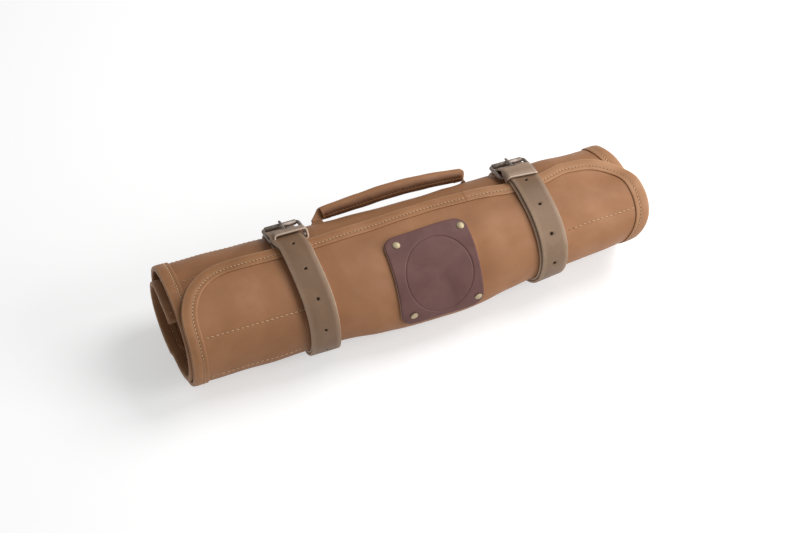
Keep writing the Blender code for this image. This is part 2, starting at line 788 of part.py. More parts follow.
def build_buckle_roller(side_name, x, frame):
    centre = over_lower(ROLLER_U, ROLLER_HEIGHT)
    half = BUCKLE_HALF - BUCKLE_BEND_RADIUS - ROLLER_END_ROOM
    bore = WIRE_RADIUS + SEAT_GAP
    facets = 16
    rings = []
    for k in range(facets):
        spoke = Vector((math.cos(TURN * k / facets), math.sin(TURN * k / facets)))
        ring = []
        for radius, side in ((bore, -half), (ROLLER_RADIUS, -half),
                             (ROLLER_RADIUS, half), (bore, half)):
            place = centre + spoke * radius
            ring.append((x + side, place.x, place.y))
        rings.append(ring)
    origin = Vector((x, centre.x, centre.y))
    roller = loft("buckle_roller_" + side_name, rings, closed=True, origin=origin,
                  smooth_angle=math.radians(50))
    attach(roller, frame)
    return dark_bronze(roller)


def attach(child, parent):
    child.parent = parent
    child.location = child.location - parent.location


def build_buckle_prong(side_name, x, frame):
    line, heel = prong_line()[:2]
    rings = []
    for k, point in enumerate(line):
        before = line[max(k - 1, 0)]
        after = line[min(k + 1, len(line) - 1)]
        along = (after - before).normalized()
        side = Vector((0.0, along.y, -along.x))
        centre = Vector((x, point.x, point.y))
        radius = PRONG_RADIUS * (PRONG_TIP_SHARE if k == 0 else 1.0)
        rings.append(circle_ring(centre, Vector((1, 0, 0)), side, radius, 8))
    origin = Vector((x, heel.x, heel.y))
    prong = loft("buckle_prong_" + side_name, rings, origin=origin,
                 smooth_angle=math.radians(50))
    attach(prong, frame)
    return dark_bronze(prong)


def handle_frame():
    # Where the handle stands on the sheet: (y, z) of its foot, outward, and sideways
    u = length_at(HANDLE_ANGLE)
    normal = normal_at(u)
    return over_flap(u, 0.0), normal, Vector((-normal.y, normal.x))


def handle_height(x):
    return HANDLE_MID_HEIGHT - HANDLE_RISE * (2 * x / HANDLE_LENGTH) ** 2


def handle_point(x, height, aside=0.0):
    foot, normal, sideways = handle_frame()
    place = foot + normal * height + sideways * aside
    return Vector((HANDLE_X + x, place.x, place.y))


def square_to_arch(x, out):
    # The place (x, height) that stands out from the handle's arched line, square to it
    slope = -8 * HANDLE_RISE * x / HANDLE_LENGTH ** 2
    tilt = 1 / math.sqrt(1 + slope ** 2)
    return x - slope * tilt * out, handle_height(x) + tilt * out


def handle_ring(x, profile):
    return [handle_point(*square_to_arch(x, out), aside) for aside, out in profile]


def grip_profile(radius):
    return [(radius * math.cos(TURN * k / 14), radius * math.sin(TURN * k / 14))
            for k in range(14)]


def handle_places(half):
    return [half * (2 * k / HANDLE_STEPS - 1) for k in range(HANDLE_STEPS + 1)]


def pivot_origin():
    return handle_point(0.0, PIVOT_HEIGHT)


def build_handle_grip():
    half = HANDLE_LENGTH / 2
    outside = grip_profile(HANDLE_RADIUS)
    inside = grip_profile(HANDLE_RADIUS - HANDLE_LEATHER)
    rings = [handle_ring(x, outside) for x in handle_places(half)]
    rings += [handle_ring(x, inside) for x in reversed(handle_places(half))]
    grip = loft("handle_grip", rings, closed=True, origin=pivot_origin(),
                smooth_angle=math.radians(40))
    return tan_leather(grip)


def build_handle_core(grip):
    half = HANDLE_LENGTH / 2 - NECK_INSERT - SEAT_GAP
    profile = grip_profile(HANDLE_RADIUS - HANDLE_LEATHER - SEAT_GAP)
    rings = [handle_ring(x, profile[::2]) for x in handle_places(half)[::2]]
    core = loft("handle_core", rings, origin=pivot_origin(), smooth_angle=math.radians(60))
    attach(core, grip)
    return core_fibre(core)


def neck_rungs(reach, edge_shares):
    # Pairs of (x, height), upper and lower, down the neck: a flat strap that leaves the
    # grip's bore and flares to a foot that reaches this far past the grip's end
    end = HANDLE_LENGTH / 2
    half = NECK_INSERT_HEIGHT / 2
    rungs = [(square_to_arch(x, half), square_to_arch(x, -half)) for x in (end - NECK_INSERT, end)]
    root = end + TAB_END_ROOM
    top = handle_height(end) + half + NECK_CREST
    low = handle_height(end) - half
    steps = list(edge_shares) + [(1.0, 0.0)]
    for k, (out_share, height_share) in enumerate(steps):
        share = k / (len(steps) - 1)
        upper = (root + reach * out_share, PIVOT_HEIGHT + (top - PIVOT_HEIGHT) * height_share)
        lower = (root + reach * NECK_ROOT_SHARE * share, low + (PIVOT_HEIGHT - low) * share)
        rungs.append((upper, lower))
    return rungs


def build_handle_neck(side_name, side, reach, edge_shares, grip):
    half = NECK_THICKNESS / 2
    rungs = neck_rungs(reach, edge_shares)
    levels = [(upper, lower, half) for upper, lower in rungs]
    foot = [x for x, height in rungs[-1]]
    for k in range(1, 4):
        turned = math.pi / 2 * k / 4
        height = PIVOT_HEIGHT - half * math.sin(turned)
        levels.append(((foot[0], height), (foot[1], height), half * math.cos(turned)))
    rings = [[handle_point(side * x, height, wide)
              for (x, height), wide in ((upper, -wide), (lower, -wide), (lower, wide), (upper, wide))]
             for upper, lower, wide in levels]
    neck = loft("handle_neck_" + side_name, rings, origin=pivot_origin())
    attach(neck, grip)
    return tan_leather(neck)


def build_handle_tab(side_name, side, reach):
    # Sewn down behind the neck, with an arm beside the grip's end that runs up under its foot
    middle = length_at(HANDLE_ANGLE)
    start = middle - TAB_BACK
    shoulder = (middle - TAB_SHOULDER_END, middle - TAB_SHOULDER_START)
    root = HANDLE_LENGTH / 2 + TAB_END_ROOM
    shift = HANDLE_X - lean(middle)
    bottom = SHEET_THICKNESS / 2 + SEAT_GAP
    extra = [start + d for d in corner_stations(TAB_CORNER_RADIUS, 3)] + list(shoulder)
    rings = []
    for u in stations(start, middle + TAB_FRONT, extra):
        narrow = corner_cut(u - start, TAB_CORNER_RADIUS)
        share = min(max((u - shoulder[0]) / (shoulder[1] - shoulder[0]), 0.0), 1.0)
        inner = (root - TAB_INWARD + narrow) * (1 - share) + root * share
        places = sorted(side * x + shift for x in (inner, root + reach - narrow))
        rings.append([wrap(u, x, bottom + TAB_THICKNESS) for x in places]
                     + [wrap(u, x, bottom) for x in reversed(places)])
    return tan_leather(loft("handle_tab_" + side_name, rings))


def badge_height():
    return SHEET_THICKNESS / 2 + SEAT_GAP + BADGE_THICKNESS / 2


def build_badge():
    middle = length_at(BADGE_ANGLE)
    half = BADGE_SIZE / 2
    badge = patch("badge", middle - half, middle + half, BADGE_X - half, BADGE_X + half,
                  badge_height(), BADGE_THICKNESS, (BADGE_CORNER_RADIUS, BADGE_CORNER_RADIUS), 5)
    holes = [rivet_axis(u, x) for u, x in rivet_places()]
    top = badge_height() + BADGE_THICKNESS / 2
    cut(badge, drill("badge_holes", holes, RIVET_STEM_RADIUS + SEAT_GAP,
                     0.0, top + CUT_OVERRUN))
    return badge_leather(badge)


def rivet_profile():
    # Radius and height of the dome, stem and inner cap, from the top down
    face = badge_height() + BADGE_THICKNESS / 2 + SEAT_GAP
    back = SHEET_THICKNESS / 2 + SEAT_GAP + 2 * FACET_SAG
    dome = [(RIVET_HEAD_RADIUS * math.sin(math.radians(a)),
             face + RIVET_DOME * math.cos(math.radians(a))) for a in RIVET_DOME_ANGLES]
    shoulder = face + RIVET_DOME * RIVET_SHOULDER_SHARE
    return dome + [(RIVET_HEAD_RADIUS, shoulder), (RIVET_HEAD_RADIUS, face),
                   (RIVET_STEM_RADIUS, face), (RIVET_STEM_RADIUS, -back),
                   (RIVET_CAP_RADIUS, -back), (RIVET_CAP_RADIUS, -back - RIVET_CAP_THICKNESS)]


def build_rivet(number, u, x):
    centre, axis = rivet_axis(u, x)
    side = Vector((1, 0, 0))
    other = axis.cross(side)
    rings = [circle_ring(centre + axis * height, side, other, radius, 14)
             for radius, height in rivet_profile()]
    rivet = loft("badge_rivet_%d" % number, rings, smooth_angle=math.radians(45))
    return rivet_brass(rivet)


def build_buckle(side_name, x):
    frame = build_buckle_frame(side_name, x)
    build_buckle_roller(side_name, x, frame)
    build_buckle_prong(side_name, x, frame)


def build():
    for thing in list(bpy.data.objects):
        bpy.data.objects.remove(thing)
    build_outer_panel()
    build_edge_binding()
    build_badge()
    for number, (u, x) in enumerate(rivet_places(), 1):
        build_rivet(number, u, x)
    grip = build_handle_grip()
    build_handle_core(grip)
    build_pocket_strip("left", -1, POCKET_LEFT_DEPTH)
    build_pocket_strip("right", 1, POCKET_RIGHT_DEPTH)
    for side_name, side, x, tilt in (("left", -1, STRAP_LEFT_X, STRAP_LEFT_TILT),
                                     ("right", 1, STRAP_RIGHT_X, STRAP_RIGHT_TILT)):
        build_strap(side_name, x, tilt)
        build_keeper(side_name, x)
        build_buckle(side_name, x)
    for side_name, side, reach, shares in (("left", -1, NECK_LEFT_REACH, NECK_LEFT_EDGE_SHARES),
                                           ("right", 1, NECK_RIGHT_REACH, NECK_RIGHT_EDGE_SHARES)):
        build_handle_neck(side_name, side, reach, shares, grip)
        build_handle_tab(side_name, side, reach)


build()
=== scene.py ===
import json
import math

import bmesh
import bpy
import numpy as np
from mathutils import Matrix


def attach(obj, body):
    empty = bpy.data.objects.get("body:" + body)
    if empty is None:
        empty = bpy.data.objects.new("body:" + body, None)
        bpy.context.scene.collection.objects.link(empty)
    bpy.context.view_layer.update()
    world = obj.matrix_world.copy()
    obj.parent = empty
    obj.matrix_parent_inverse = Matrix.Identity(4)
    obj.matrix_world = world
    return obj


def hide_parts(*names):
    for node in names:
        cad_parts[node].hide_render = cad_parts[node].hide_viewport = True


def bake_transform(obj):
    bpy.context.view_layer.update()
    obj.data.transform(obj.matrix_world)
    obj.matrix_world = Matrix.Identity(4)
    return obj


# Looks for a leather tool roll that lies rolled up and buckled.
# A place on the sheet is (u, x, w): u along the winding from the flap's free edge,
# x along the roll, w outwards from the middle of the leather. Metres everywhere.

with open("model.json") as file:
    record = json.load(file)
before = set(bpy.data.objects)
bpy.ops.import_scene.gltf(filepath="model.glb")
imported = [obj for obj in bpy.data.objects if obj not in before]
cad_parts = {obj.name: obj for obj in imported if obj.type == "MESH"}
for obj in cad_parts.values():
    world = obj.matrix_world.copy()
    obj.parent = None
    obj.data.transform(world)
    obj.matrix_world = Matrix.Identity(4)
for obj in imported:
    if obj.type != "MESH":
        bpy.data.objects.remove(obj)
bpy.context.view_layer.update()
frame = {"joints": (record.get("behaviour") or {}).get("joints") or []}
turn = 2 * math.pi
sides = {"left": -1, "right": 1}
print("frame loaded")


# Winding: the same curve as the solids

winding = {
    "length": 0.495, "thickness": 0.002, "turns": 2.15,
    "halfDepth": 0.0675, "halfHeight": 0.0487, "power": 2.35,
    "restFlat": 0.0016, "clearance": 0.0012, "gap": 0.0003,
    "slipFirst": -0.0023, "slipGrowth": 0.0029,
    "taperStart": 0.163, "taperEnd": 0.256, "taperShare": 0.035,
    "flapAngle": math.radians(-15.5), "cornerRadius": 0.065, "rightRadius": 0.046,
    "lead": math.radians(75), "past": 0.1, "traceSteps": 6000, "traceSmooth": 0.004,
}
bindingStrip = {
    "thickness": 0.0011, "width": 0.014, "buttX": 0.072, "stitchIn": 0.0092,
    "noseRadius": 0.0013, "noseFrom": 0.15, "noseSteps": 4, "puff": 0.00035,
    "groove": 0.00035, "grooveWidth": 0.0008, "threadSunk": 0.8, "edgeDrop": 0.0003,
    "faceShares": (1.0, 0.96, 0.86, 0.75, 0.70, 0.657, 0.61, 0.55, 0.40, 0.25, 0.10),
    # The pale rub at the nose is partly a painted highlight along the outer edge
    "edgeRub": 0.35, "noseRubAndHighlight": 0.55, "pale": 0.26, "paleRun": 0.75,
    "step": 0.0045, "cornerSteps": 26, "fineStep": 0.0025, "fineCornerSteps": 60,
}
bindingProud = winding["gap"] + bindingStrip["thickness"]
bindingHalf = winding["thickness"] / 2 + bindingProud
turnPitch = 2 * bindingHalf + winding["clearance"]


def unit(values):
    return values / np.linalg.norm(values, axis=-1, keepdims=True)


def turnRadius(angle, inset):
    depth = winding["halfDepth"] - inset
    height = winding["halfHeight"] - inset
    across = np.abs(np.sin(angle) / depth) ** winding["power"]
    along = np.abs(np.cos(angle) / height) ** winding["power"]
    return (across + along) ** (-1 / winding["power"])


def lowestOfTurn(number):
    inset = turnPitch * (number + 0.5 - winding["flapAngle"] / turn)
    return winding["restFlat"] + inset - winding["halfHeight"]


def traceSpiral():
    first = winding["flapAngle"] - winding["lead"]
    last = winding["flapAngle"] + (winding["turns"] + winding["past"]) * turn
    angles = np.linspace(first, last, winding["traceSteps"])
    radius = turnRadius(angles, turnPitch * (angles - winding["flapAngle"]) / turn)
    heights = np.maximum(radius * np.cos(angles), lowestOfTurn(np.floor(angles / turn)))
    points = np.stack([-radius * np.sin(angles), heights], axis=1)
    run = np.concatenate([[0.0], np.cumsum(np.hypot(*np.diff(points, axis=0).T))])
    run -= np.interp(winding["flapAngle"], angles, run)
    slope = np.gradient(points, run, axis=0)
    normals = np.stack([slope[:, 1], -slope[:, 0]], axis=1)
    width = int(winding["traceSmooth"] / (run[-1] - run[0]) * winding["traceSteps"]) | 1
    padded = np.pad(normals, ((width // 2, width // 2), (0, 0)), mode="edge")
    window = np.ones(width) / width
    normals = np.stack([np.convolve(padded[:, k], window, "valid") for k in (0, 1)], axis=1)
    return {"angle": angles, "run": run, "points": points, "normals": unit(normals)}


spiral = traceSpiral()


def lengthAt(angle):
    return np.interp(angle, spiral["angle"], spiral["run"])


def angleAt(u):
    return np.interp(u, spiral["run"], spiral["angle"])


def under(u):
    return lengthAt(angleAt(u) + turn)          # one turn further in, at the same angle


def lookUp(u, key):
    return np.stack([np.interp(u, spiral["run"], spiral[key][:, k]) for k in (0, 1)], axis=-1)


def normalAt(u):
    return unit(lookUp(u, "normals"))


strapCut = {
    "width": 0.030, "thickness": 0.0028, "settle": 0.022, "edgeRadius": 0.0007,
    "cornerSteps": 2, "faceSteps": 6, "cutRub": 0.55, "cornerRub": 0.30,
    "holeRadius": 0.0020, "holePitch": 0.0331, "holeCount": 5, "crossing": 0.575,
    "holeBevel": ((-0.0032, 0.90), (-0.0004, 0.90), (0.0002, 1.18), (0.0032, 1.18)),
    "holeFacets": 20, "holeOut": 0.0015, "slotShare": 0.74, "slotOver": 0.006,
    "foldSteps": 14, "liftRun": 0.012, "liftShares": (0.3, 0.6, 1.0),
    "riseStart": 0.0010, "risePower": 1.3, "riseSteps": 6, "frontStep": 0.004,
    "tailEnd": math.pi + math.radians(22), "tipLength": 0.014, "step": 0.0013,
    "tipAt": (0, 0.06, 0.2, 0.45, 0.75, 1), "tipWidth": (0.30, 0.50, 0.70, 0.87, 0.97, 1),
    "driftStart": -26, "driftGrow": 22, "driftEnd": 50, "driftFade": 85,
    "left": {"x": -0.1067, "tilt": 0.085, "tail": 0.0034, "inner": 0.0046, "holes": 0.0,
             "rubAndHighlight": 0.05, "narrow": 0.0},
    "right": {"x": 0.1418, "tilt": 0.0, "tail": 0.0016, "inner": -0.0008, "holes": 0.0022,
              "rubAndHighlight": 0.24, "narrow": 0.0022},
    # Rub and painted highlight where the tail bends over the front: strength for each side above,
    # degrees and spread here
    "rubAndHighlightAt": 62, "rubAndHighlightSpread": 48,
}
buckle = {
    "wire": 0.00175, "heelBack": 0.0137, "reach": 0.0285, "rollerRaise": 0.0020,
    "sideRoom": 0.0019, "bend": 0.0032, "bendSteps": 9, "wireLook": 0.00192,
    "wireFacets": 16, "wireFlat": 0.92, "roller": 0.00275, "rollerPast": 0.0008,
    "rollerRound": 0.0002, "rollerSteps": 34, "rollerSlit": math.radians(9), "slitTurned": 1.9,
    "prong": 0.0012, "tongueHalf": 0.00155, "tongueFlat": 0.72, "tongueFacets": 12,
    "tongueStep": 0.0008, "tongueAt": (0, 0.0006, 0.002, 0.006),
    "tongueShares": (0.6, 0.85, 0.95, 1), "prongShares": (1.0, 0.9, 0.8, 0.6, 0.4, 0.2),
    "overhang": 0.0026, "slotRoom": 0.0007, "hookAngle": math.radians(280), "hookSteps": 14,
}
gap = winding["gap"]
halfSheet = winding["thickness"] / 2
strapSeat = gap + strapCut["thickness"] / 2
strapStep = strapCut["thickness"] + gap
barHeight = gap + strapCut["thickness"] + gap + buckle["wire"]
chapeRadius = buckle["wire"] + gap + strapCut["thickness"] / 2
rollerHeight = buckle["rollerRaise"] + gap + strapCut["thickness"] + gap + buckle["roller"]
hookRadius = buckle["wire"] + gap + buckle["prong"]
buckleHalf = strapCut["width"] / 2 + buckle["sideRoom"] + buckle["wire"]
heelU = -buckle["heelBack"]
rollerU = heelU - buckle["reach"]


def jointPlace(name):
    return np.array([j for j in frame["joints"] if j["name"] == name][0]["pos_m"])


def loose(u, w):
    return lookUp(u, "points") + normalAt(u) * np.asarray(w)[..., None]


# The frame's own heel bar gives where the winding's middle stands
lift = jointPlace("buckle_tilt_left")[1:] - loose(under(heelU), halfSheet + barHeight)
sheetEnd = float(lengthAt(winding["flapAngle"] + winding["turns"] * turn))


def section(u, w):
    return loose(u, w) + lift                   # (y, z) in the roll's cross-section


def overFlap(u, height):
    return section(u, halfSheet + height)


def overLower(u, height):
    return section(under(u), halfSheet + height)


def slip(turns):
    return winding["slipFirst"] * turns + winding["slipGrowth"] * turns * np.maximum(turns, 0)


def lean(u):
    return slip(winding["turns"]) / 2 - slip((angleAt(u) - winding["flapAngle"]) / turn)


def smoothShare(share):
    share = np.clip(share, 0.0, 1.0)
    return share * share * (3 - 2 * share)


def bump(value, middle, spread):
    return np.exp(-((value - middle) / spread) ** 2)


# How the used roll has settled: pulled in (radial) and drawn along (end) by so many metres
# round the degrees given, growing from one place along the roll to another, and how far the
# flap's edge has slid at places along it
settled = {
    "radial": (
        {"from": 0.030, "to": 0.240, "degrees": 119, "spread": 34, "by": 0.0145},
        {"from": 0.162, "to": 0.245, "degrees": 8, "spread": 22, "by": 0.0062},
        {"from": 0.162, "to": 0.245, "degrees": -60, "spread": 32, "by": 0.0025},
    ),
    "end": (
        {"from": -0.140, "to": -0.240, "degrees": 60, "spread": 400, "by": 0.0052},
        {"from": 0.160, "to": 0.245, "degrees": 52, "spread": 34, "by": 0.0015},
        {"from": 0.160, "to": 0.245, "degrees": 88, "spread": 20, "by": -0.0030},
        {"from": 0.160, "to": 0.245, "degrees": 120, "spread": 40, "by": -0.0110},
        {"from": 0.160, "to": 0.245, "degrees": -50, "spread": 40, "by": -0.0075},
    ),
    # Round the stiff badge and under the handle, only near the middle of the roll
    "middle": {"x": 0.0150, "reach": 0.066, "pushes": (
        {"degrees": 107, "spread": 23, "by": 0.0068},
        {"degrees": 68, "spread": 23, "by": -0.0036},
        {"degrees": -60, "spread": 26, "by": -0.0027},
    )},
    "flapX": (-0.120, -0.080, -0.030, 0.035, 0.085, 0.118, 0.160, 0.185, 0.215, 0.260),
    "flapBy": (0, 0, -0.0019, -0.0058, -0.0045, 0, 0, -0.0062, -0.0045, -0.0037),
    "flapFrom": 0.02, "flapTo": 0.11,
    # The innermost turn has dropped at the left end
    "core": {"turn": 1.15, "grow": 0.45, "from": -0.110, "to": -0.240, "degrees": -32,
             "spread": 70, "by": 0.0105},
}


def aroundRoll(spots):
    # Which way (y, z) spots lie from the roll's middle, and how many degrees from its top
    across = spots - lift
    distance = np.maximum(np.linalg.norm(across, axis=-1, keepdims=True), 0.001)
    return across / distance, np.degrees(np.arctan2(-across[..., 0], across[..., 1]))


def grownTo(part, x, degrees):
    # How far one part of the settling moves what lies at x and at so many degrees
    grown = smoothShare((x - part["from"]) / (part["to"] - part["from"]))
    return part["by"] * grown * bump(degrees, part["degrees"], part["spread"])


def settle(points, ends=True):
    # Straps take the first squeeze and the middle's, and keep their places along the roll
    points = np.array(points, float)
    x = points[..., 0]
    outward, degrees = aroundRoll(points[..., 1:])
    squeezes = settled["radial"] if ends else settled["radial"][:1]
    pulled = sum(grownTo(squeeze, x, degrees) for squeeze in squeezes)
    middle = settled["middle"]
    near = np.exp(-((x - middle["x"]) / middle["reach"]) ** 4)
    for push in middle["pushes"]:
        pulled = pulled - push["by"] * near * bump(degrees, push["degrees"], push["spread"])
    drawn = sum(grownTo(draw, x, degrees) for draw in settled["end"]) if ends else 0.0
    points[..., 1:] -= outward * pulled[..., None]
    points[..., 0] += drawn
    return points


def strapDrift(side, layer, spots):
    # How far a strap's layer has worked sideways in front of its buckle
    degrees = aroundRoll(spots)[1]
    share = (smoothShare((degrees - strapCut["driftStart"]) / strapCut["driftGrow"])
             * (1 - smoothShare((degrees - strapCut["driftEnd"]) / strapCut["driftFade"])))
    return strapCut[side][layer] * share


def slid(u, along):
    by = np.interp(along, settled["flapX"], settled["flapBy"])
    fade = smoothShare((u - settled["flapFrom"]) / (settled["flapTo"] - settled["flapFrom"]))
    return u + by * (1 - fade)


def sheetPlace(u, x, w):
    # Where the leather lies: wound, slimmer at its right end, dropped inside at its left end
    u, x, w = (np.array(v) for v in np.broadcast_arrays(u, x, w))
    along = x + lean(u)
    share = np.clip((along - winding["taperStart"])
                    / (winding["taperEnd"] - winding["taperStart"]), 0.0, 1.0)
    corner = lift + np.array((winding["halfDepth"], winding["halfHeight"]))
    spots = section(slid(u, along), w)
    spots = corner + (spots - corner) * (1 - winding["taperShare"] * share ** 2)[..., None]
    core = settled["core"]
    turned = (angleAt(u) - winding["flapAngle"]) / turn
    outward, degrees = aroundRoll(spots)
    dropped = grownTo(core, along, degrees) * smoothShare((turned - core["turn"]) / core["grow"])
    spots = spots - outward * dropped[..., None]
    return settle(np.concatenate([along[..., None], spots], axis=-1))


def sheetNormal(u):
    normal = normalAt(u)
    return np.concatenate([np.zeros(normal.shape[:-1] + (1,)), normal], axis=-1)


def acrossStrap(side, z):
    strap = strapCut[side]
    return strap["x"] + strap["tilt"] * (lift[0] + winding["halfHeight"] - z)


# Badge and handle sizes, needed where the sheet is pressed flat

badgeCut = {
    "x": 0.0138, "size": 0.089, "thickness": 0.0026, "corner": 0.012, "points": 200,
    "angle": math.radians(63.6), "ring": 0.0350, "ringWidth": 0.0011, "ringDepth": 0.0006,
    "ringSharp": 0.42, "ringX": 0.0018, "ringU": 0.0030, "ringRoom": 2.4, "faceSteps": 12,
    "ringRows": (-1.3, -0.7, -0.45, -0.2, 0, 0.2, 0.45, 0.7, 1.3),
    "fieldRows": (0.004, 0.012, 0.020, 0.028, 0.0325), "field": 0.00012,
    "underShares": (0.1, 0.5, 0.9, 1.0), "footHeight": 0.0003, "edgeRound": 0.0011,
    "edgeRows": ((0.0, 1.0), (0.00015, 0.6), (0.0005, 0.25), (0.0011, 0.05), (0.0020, 0.0)),
    "dimple": 0.0003, "dimpleReach": 0.0052,
    "rivetX": 0.0031, "rivetU": 0.0002, "rivetHalf": 0.0347,
}
handleCut = {
    "x": 0.0172, "angle": turn - math.radians(66), "length": 0.154, "radius": 0.0079,
    "endRadius": 0.0066, "midHeight": 0.0130, "rise": 0.0044, "sag": 0.0010, "sagX": -0.038,
    "sagSpread": 0.028, "leather": 0.0014, "neckThickness": 0.0032, "neckInsert": 0.009,
    "insertHeight": 0.0102, "crest": 0.0008, "tabThickness": 0.0020, "tabFront": 0.0020,
    "tabBack": 0.026, "tabInward": 0.012, "shoulder": (0.0105, 0.0075), "tabCorner": 0.004,
    "endRoom": 0.0006,
    "left": {"reach": 0.0112, "root": -0.0095, "edge": ((0.14, 1.0), (0.55, 0.50))},
    "right": {"reach": 0.0012, "root": -0.0100,
              "edge": ((0.8, 1.0), (2.9, 0.76), (2.7, 0.42))},
}
billowLook = {
    "bulge": 0.0011, "strapReach": 0.020, "ripple": 0.00026, "badgeReach": 0.012,
    "tabReach": 0.010, "tabHalf": 0.012, "restFrom": 0.010, "restGrow": 0.020, "rested": 0.25,
    "swirl": {"length": 0.091, "start": 0.8, "sway": 1.7, "swayStart": 0.4,
              "turns": 2.0, "turnStart": 0.7},
    "waves": ({"share": 0.7, "length": 0.053, "turns": 3.0, "start": 2.0},
              {"share": 0.5, "length": 0.137, "turns": -5.0, "start": 0.5}),
}
# Soft dents: angle and place along the roll, half lengths round and along it, slant, depth
dents = (
    (math.radians(38), -0.128, 0.34, 0.008, 0.03, 0.0009),
    (math.radians(80), -0.165, 0.30, 0.030, 0.20, 0.0005),
    (math.radians(30), 0.100, 0.30, 0.016, -0.06, 0.0007),
    (math.radians(60), 0.096, 0.36, 0.009, 0.05, 0.0006),
    (math.radians(35), 0.190, 0.22, 0.020, 0.10, 0.0007),
    (math.radians(85), -0.060, 0.25, 0.022, -0.08, 0.0005),
    (math.radians(55), -0.205, 0.30, 0.010, 0.08, 0.0004),
)


def boxDistance(a, b, halfA, halfB):
    return np.hypot(np.maximum(np.abs(a) - halfA, 0), np.maximum(np.abs(b) - halfB, 0))


def billow(u, x):
    # How far the leather swells or dents, the same in every turn so that none meet
    u, x = np.broadcast_arrays(u, x)
    along = x + lean(u)
    angle = np.mod(angleAt(u) + math.pi, turn) - math.pi
    height = section(u, 0.0)[..., 1]
    arc = (winding["halfDepth"] + winding["halfHeight"]) / 2
    half, tabHalf = badgeCut["size"] / 2, handleCut["tabBack"] / 2
    off = boxDistance((angle - badgeCut["angle"]) * arc, along - badgeCut["x"], half, half)
    still = 1 - np.exp(-(off / billowLook["badgeReach"]) ** 2)
    for sideName, side in sides.items():
        off = np.abs(along - acrossStrap(sideName, height)) - strapCut["width"] / 2
        still *= 1 - np.exp(-(np.maximum(off, 0) / billowLook["strapReach"]) ** 2)
        tabX = handleCut["x"] + side * (handleCut["length"] + handleCut[sideName]["reach"]) / 2
        off = boxDistance((angle - handleCut["angle"] + turn) * arc + tabHalf, along - tabX,
                          tabHalf, billowLook["tabHalf"])
        still *= 1 - np.exp(-(off / billowLook["tabReach"]) ** 2)
    swirl = billowLook["swirl"]
    sway = swirl["sway"] * np.sin(angle + swirl["swayStart"])
    rippled = (np.sin(turn * along / swirl["length"] + sway + swirl["start"])
               * np.sin(swirl["turns"] * angle + swirl["turnStart"]))
    for wave in billowLook["waves"]:
        rippled = rippled + wave["share"] * np.sin(turn * along / wave["length"]
                                                   + wave["turns"] * angle + wave["start"])
    swell = billowLook["bulge"] + billowLook["ripple"] * rippled
    for centre, middle, spread, reach, slant, depth in dents:
        off = angle - centre
        aside = (along - middle - slant * off * arc) / reach
        swell = swell - depth * np.exp(-(off / spread) ** 2 - aside ** 2)
    resting = smoothShare((height - billowLook["restFrom"]) / billowLook["restGrow"])
    return swell * still * (billowLook["rested"] + (1 - billowLook["rested"]) * resting)


# Mesh helpers

sharpFrom = 38                                  # degrees between faces that meet in an edge
# A rounded rectangle's corners: which way each lies, and where its arc starts
quarters = ((1, 1, 0.0), (-1, 1, turn / 4), (-1, -1, turn / 2), (1, -1, turn * 3 / 4))


def linkObject(name, data):
    thing = bpy.data.objects.new(name, data)
    bpy.context.scene.collection.objects.link(thing)
    return thing


def meshPiece(name, points, faces, materials, slots=None, sharp=sharpFrom, wearAndPaintedLight=None):
    mesh = bpy.data.meshes.new(name)
    mesh.from_pydata(np.asarray(points, float).reshape(-1, 3).tolist(), [], faces)
    for material in materials:
        mesh.materials.append(material)
    if slots is not None:
        mesh.polygons.foreach_set("material_index", np.asarray(slots, np.int32))
    if wearAndPaintedLight is not None:
        attribute = mesh.attributes.new("wearAndPaintedLight", "FLOAT", "POINT")
        attribute.data.foreach_set("value", np.asarray(wearAndPaintedLight, np.float32).ravel())
    shape = bmesh.new()
    shape.from_mesh(mesh)
    bmesh.ops.recalc_face_normals(shape, faces=shape.faces)
    shape.to_mesh(mesh)
    shape.free()
    mesh.shade_smooth()
    mesh.set_sharp_from_angle(angle=math.radians(sharp))
    return linkObject(name, mesh)


def bandFaces(rows, around, closed=False, base=0):
    # The faces between rings of points, which are numbered from base
    faces = []
    for i in range(rows if closed else rows - 1):
        here, there = base + i * around, base + (i + 1) % rows * around
        for j in range(around):
            k = (j + 1) % around
            faces.append((here + j, here + k, there + k, there + j))
    return faces


def stackFaces(rows, around, base):
    # The same for a small solid, with one face on each end
    last = base + (rows - 1) * around
    ends = [tuple(range(base, base + around)), tuple(range(last, last + around))]
    return bandFaces(rows, around, base=base) + ends


def skin(name, rings, materials, closed=False, slotAround=None, sharp=sharpFrom, wearAndPaintedLight=None):
    # A solid skinned over rings, an array of rows of points; ends are closed in steps
    rings = np.asarray(rings, float)
    rows, around = rings.shape[:2]
    faces = bandFaces(rows, around, closed)
    slots = list(slotAround or [0] * around) * (rows if closed else rows - 1)
    for base in () if closed else (0, (rows - 1) * around):
        for j in range(around // 2 - 1):
            faces.append((base + j, base + j + 1, base + around - 2 - j, base + around - 1 - j))
            slots.append(max(slotAround or [0]))
    if wearAndPaintedLight is not None:
        wearAndPaintedLight = np.broadcast_to(wearAndPaintedLight, (rows, around))
    return meshPiece(name, rings, faces, materials, slots, sharp, wearAndPaintedLight)


def place(piece, body, slot, *nodes):
    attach(piece, body)
    if nodes:
        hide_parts(*nodes)


def lengthsOf(line):
    return np.concatenate([[0.0], np.cumsum(np.linalg.norm(np.diff(line, axis=0), axis=1))])


def smoothCurve(points, counts):
    # A smooth curve through the points, with so many steps from each to the next
    before = np.concatenate([2 * points[:1] - points[1:2], points,
                             2 * points[-1:] - points[-2:-1]])
    rows = []
    for k, count in enumerate(counts):
        a, b, c, d = before[k:k + 4]
        for t in np.arange(count) / count:
            rows.append(0.5 * (2 * b + (c - a) * t + (2 * a - 5 * b + 4 * c - d) * t ** 2
                               + (3 * b - a - 3 * c + d) * t ** 3))
    return np.array(rows + [points[-1]])


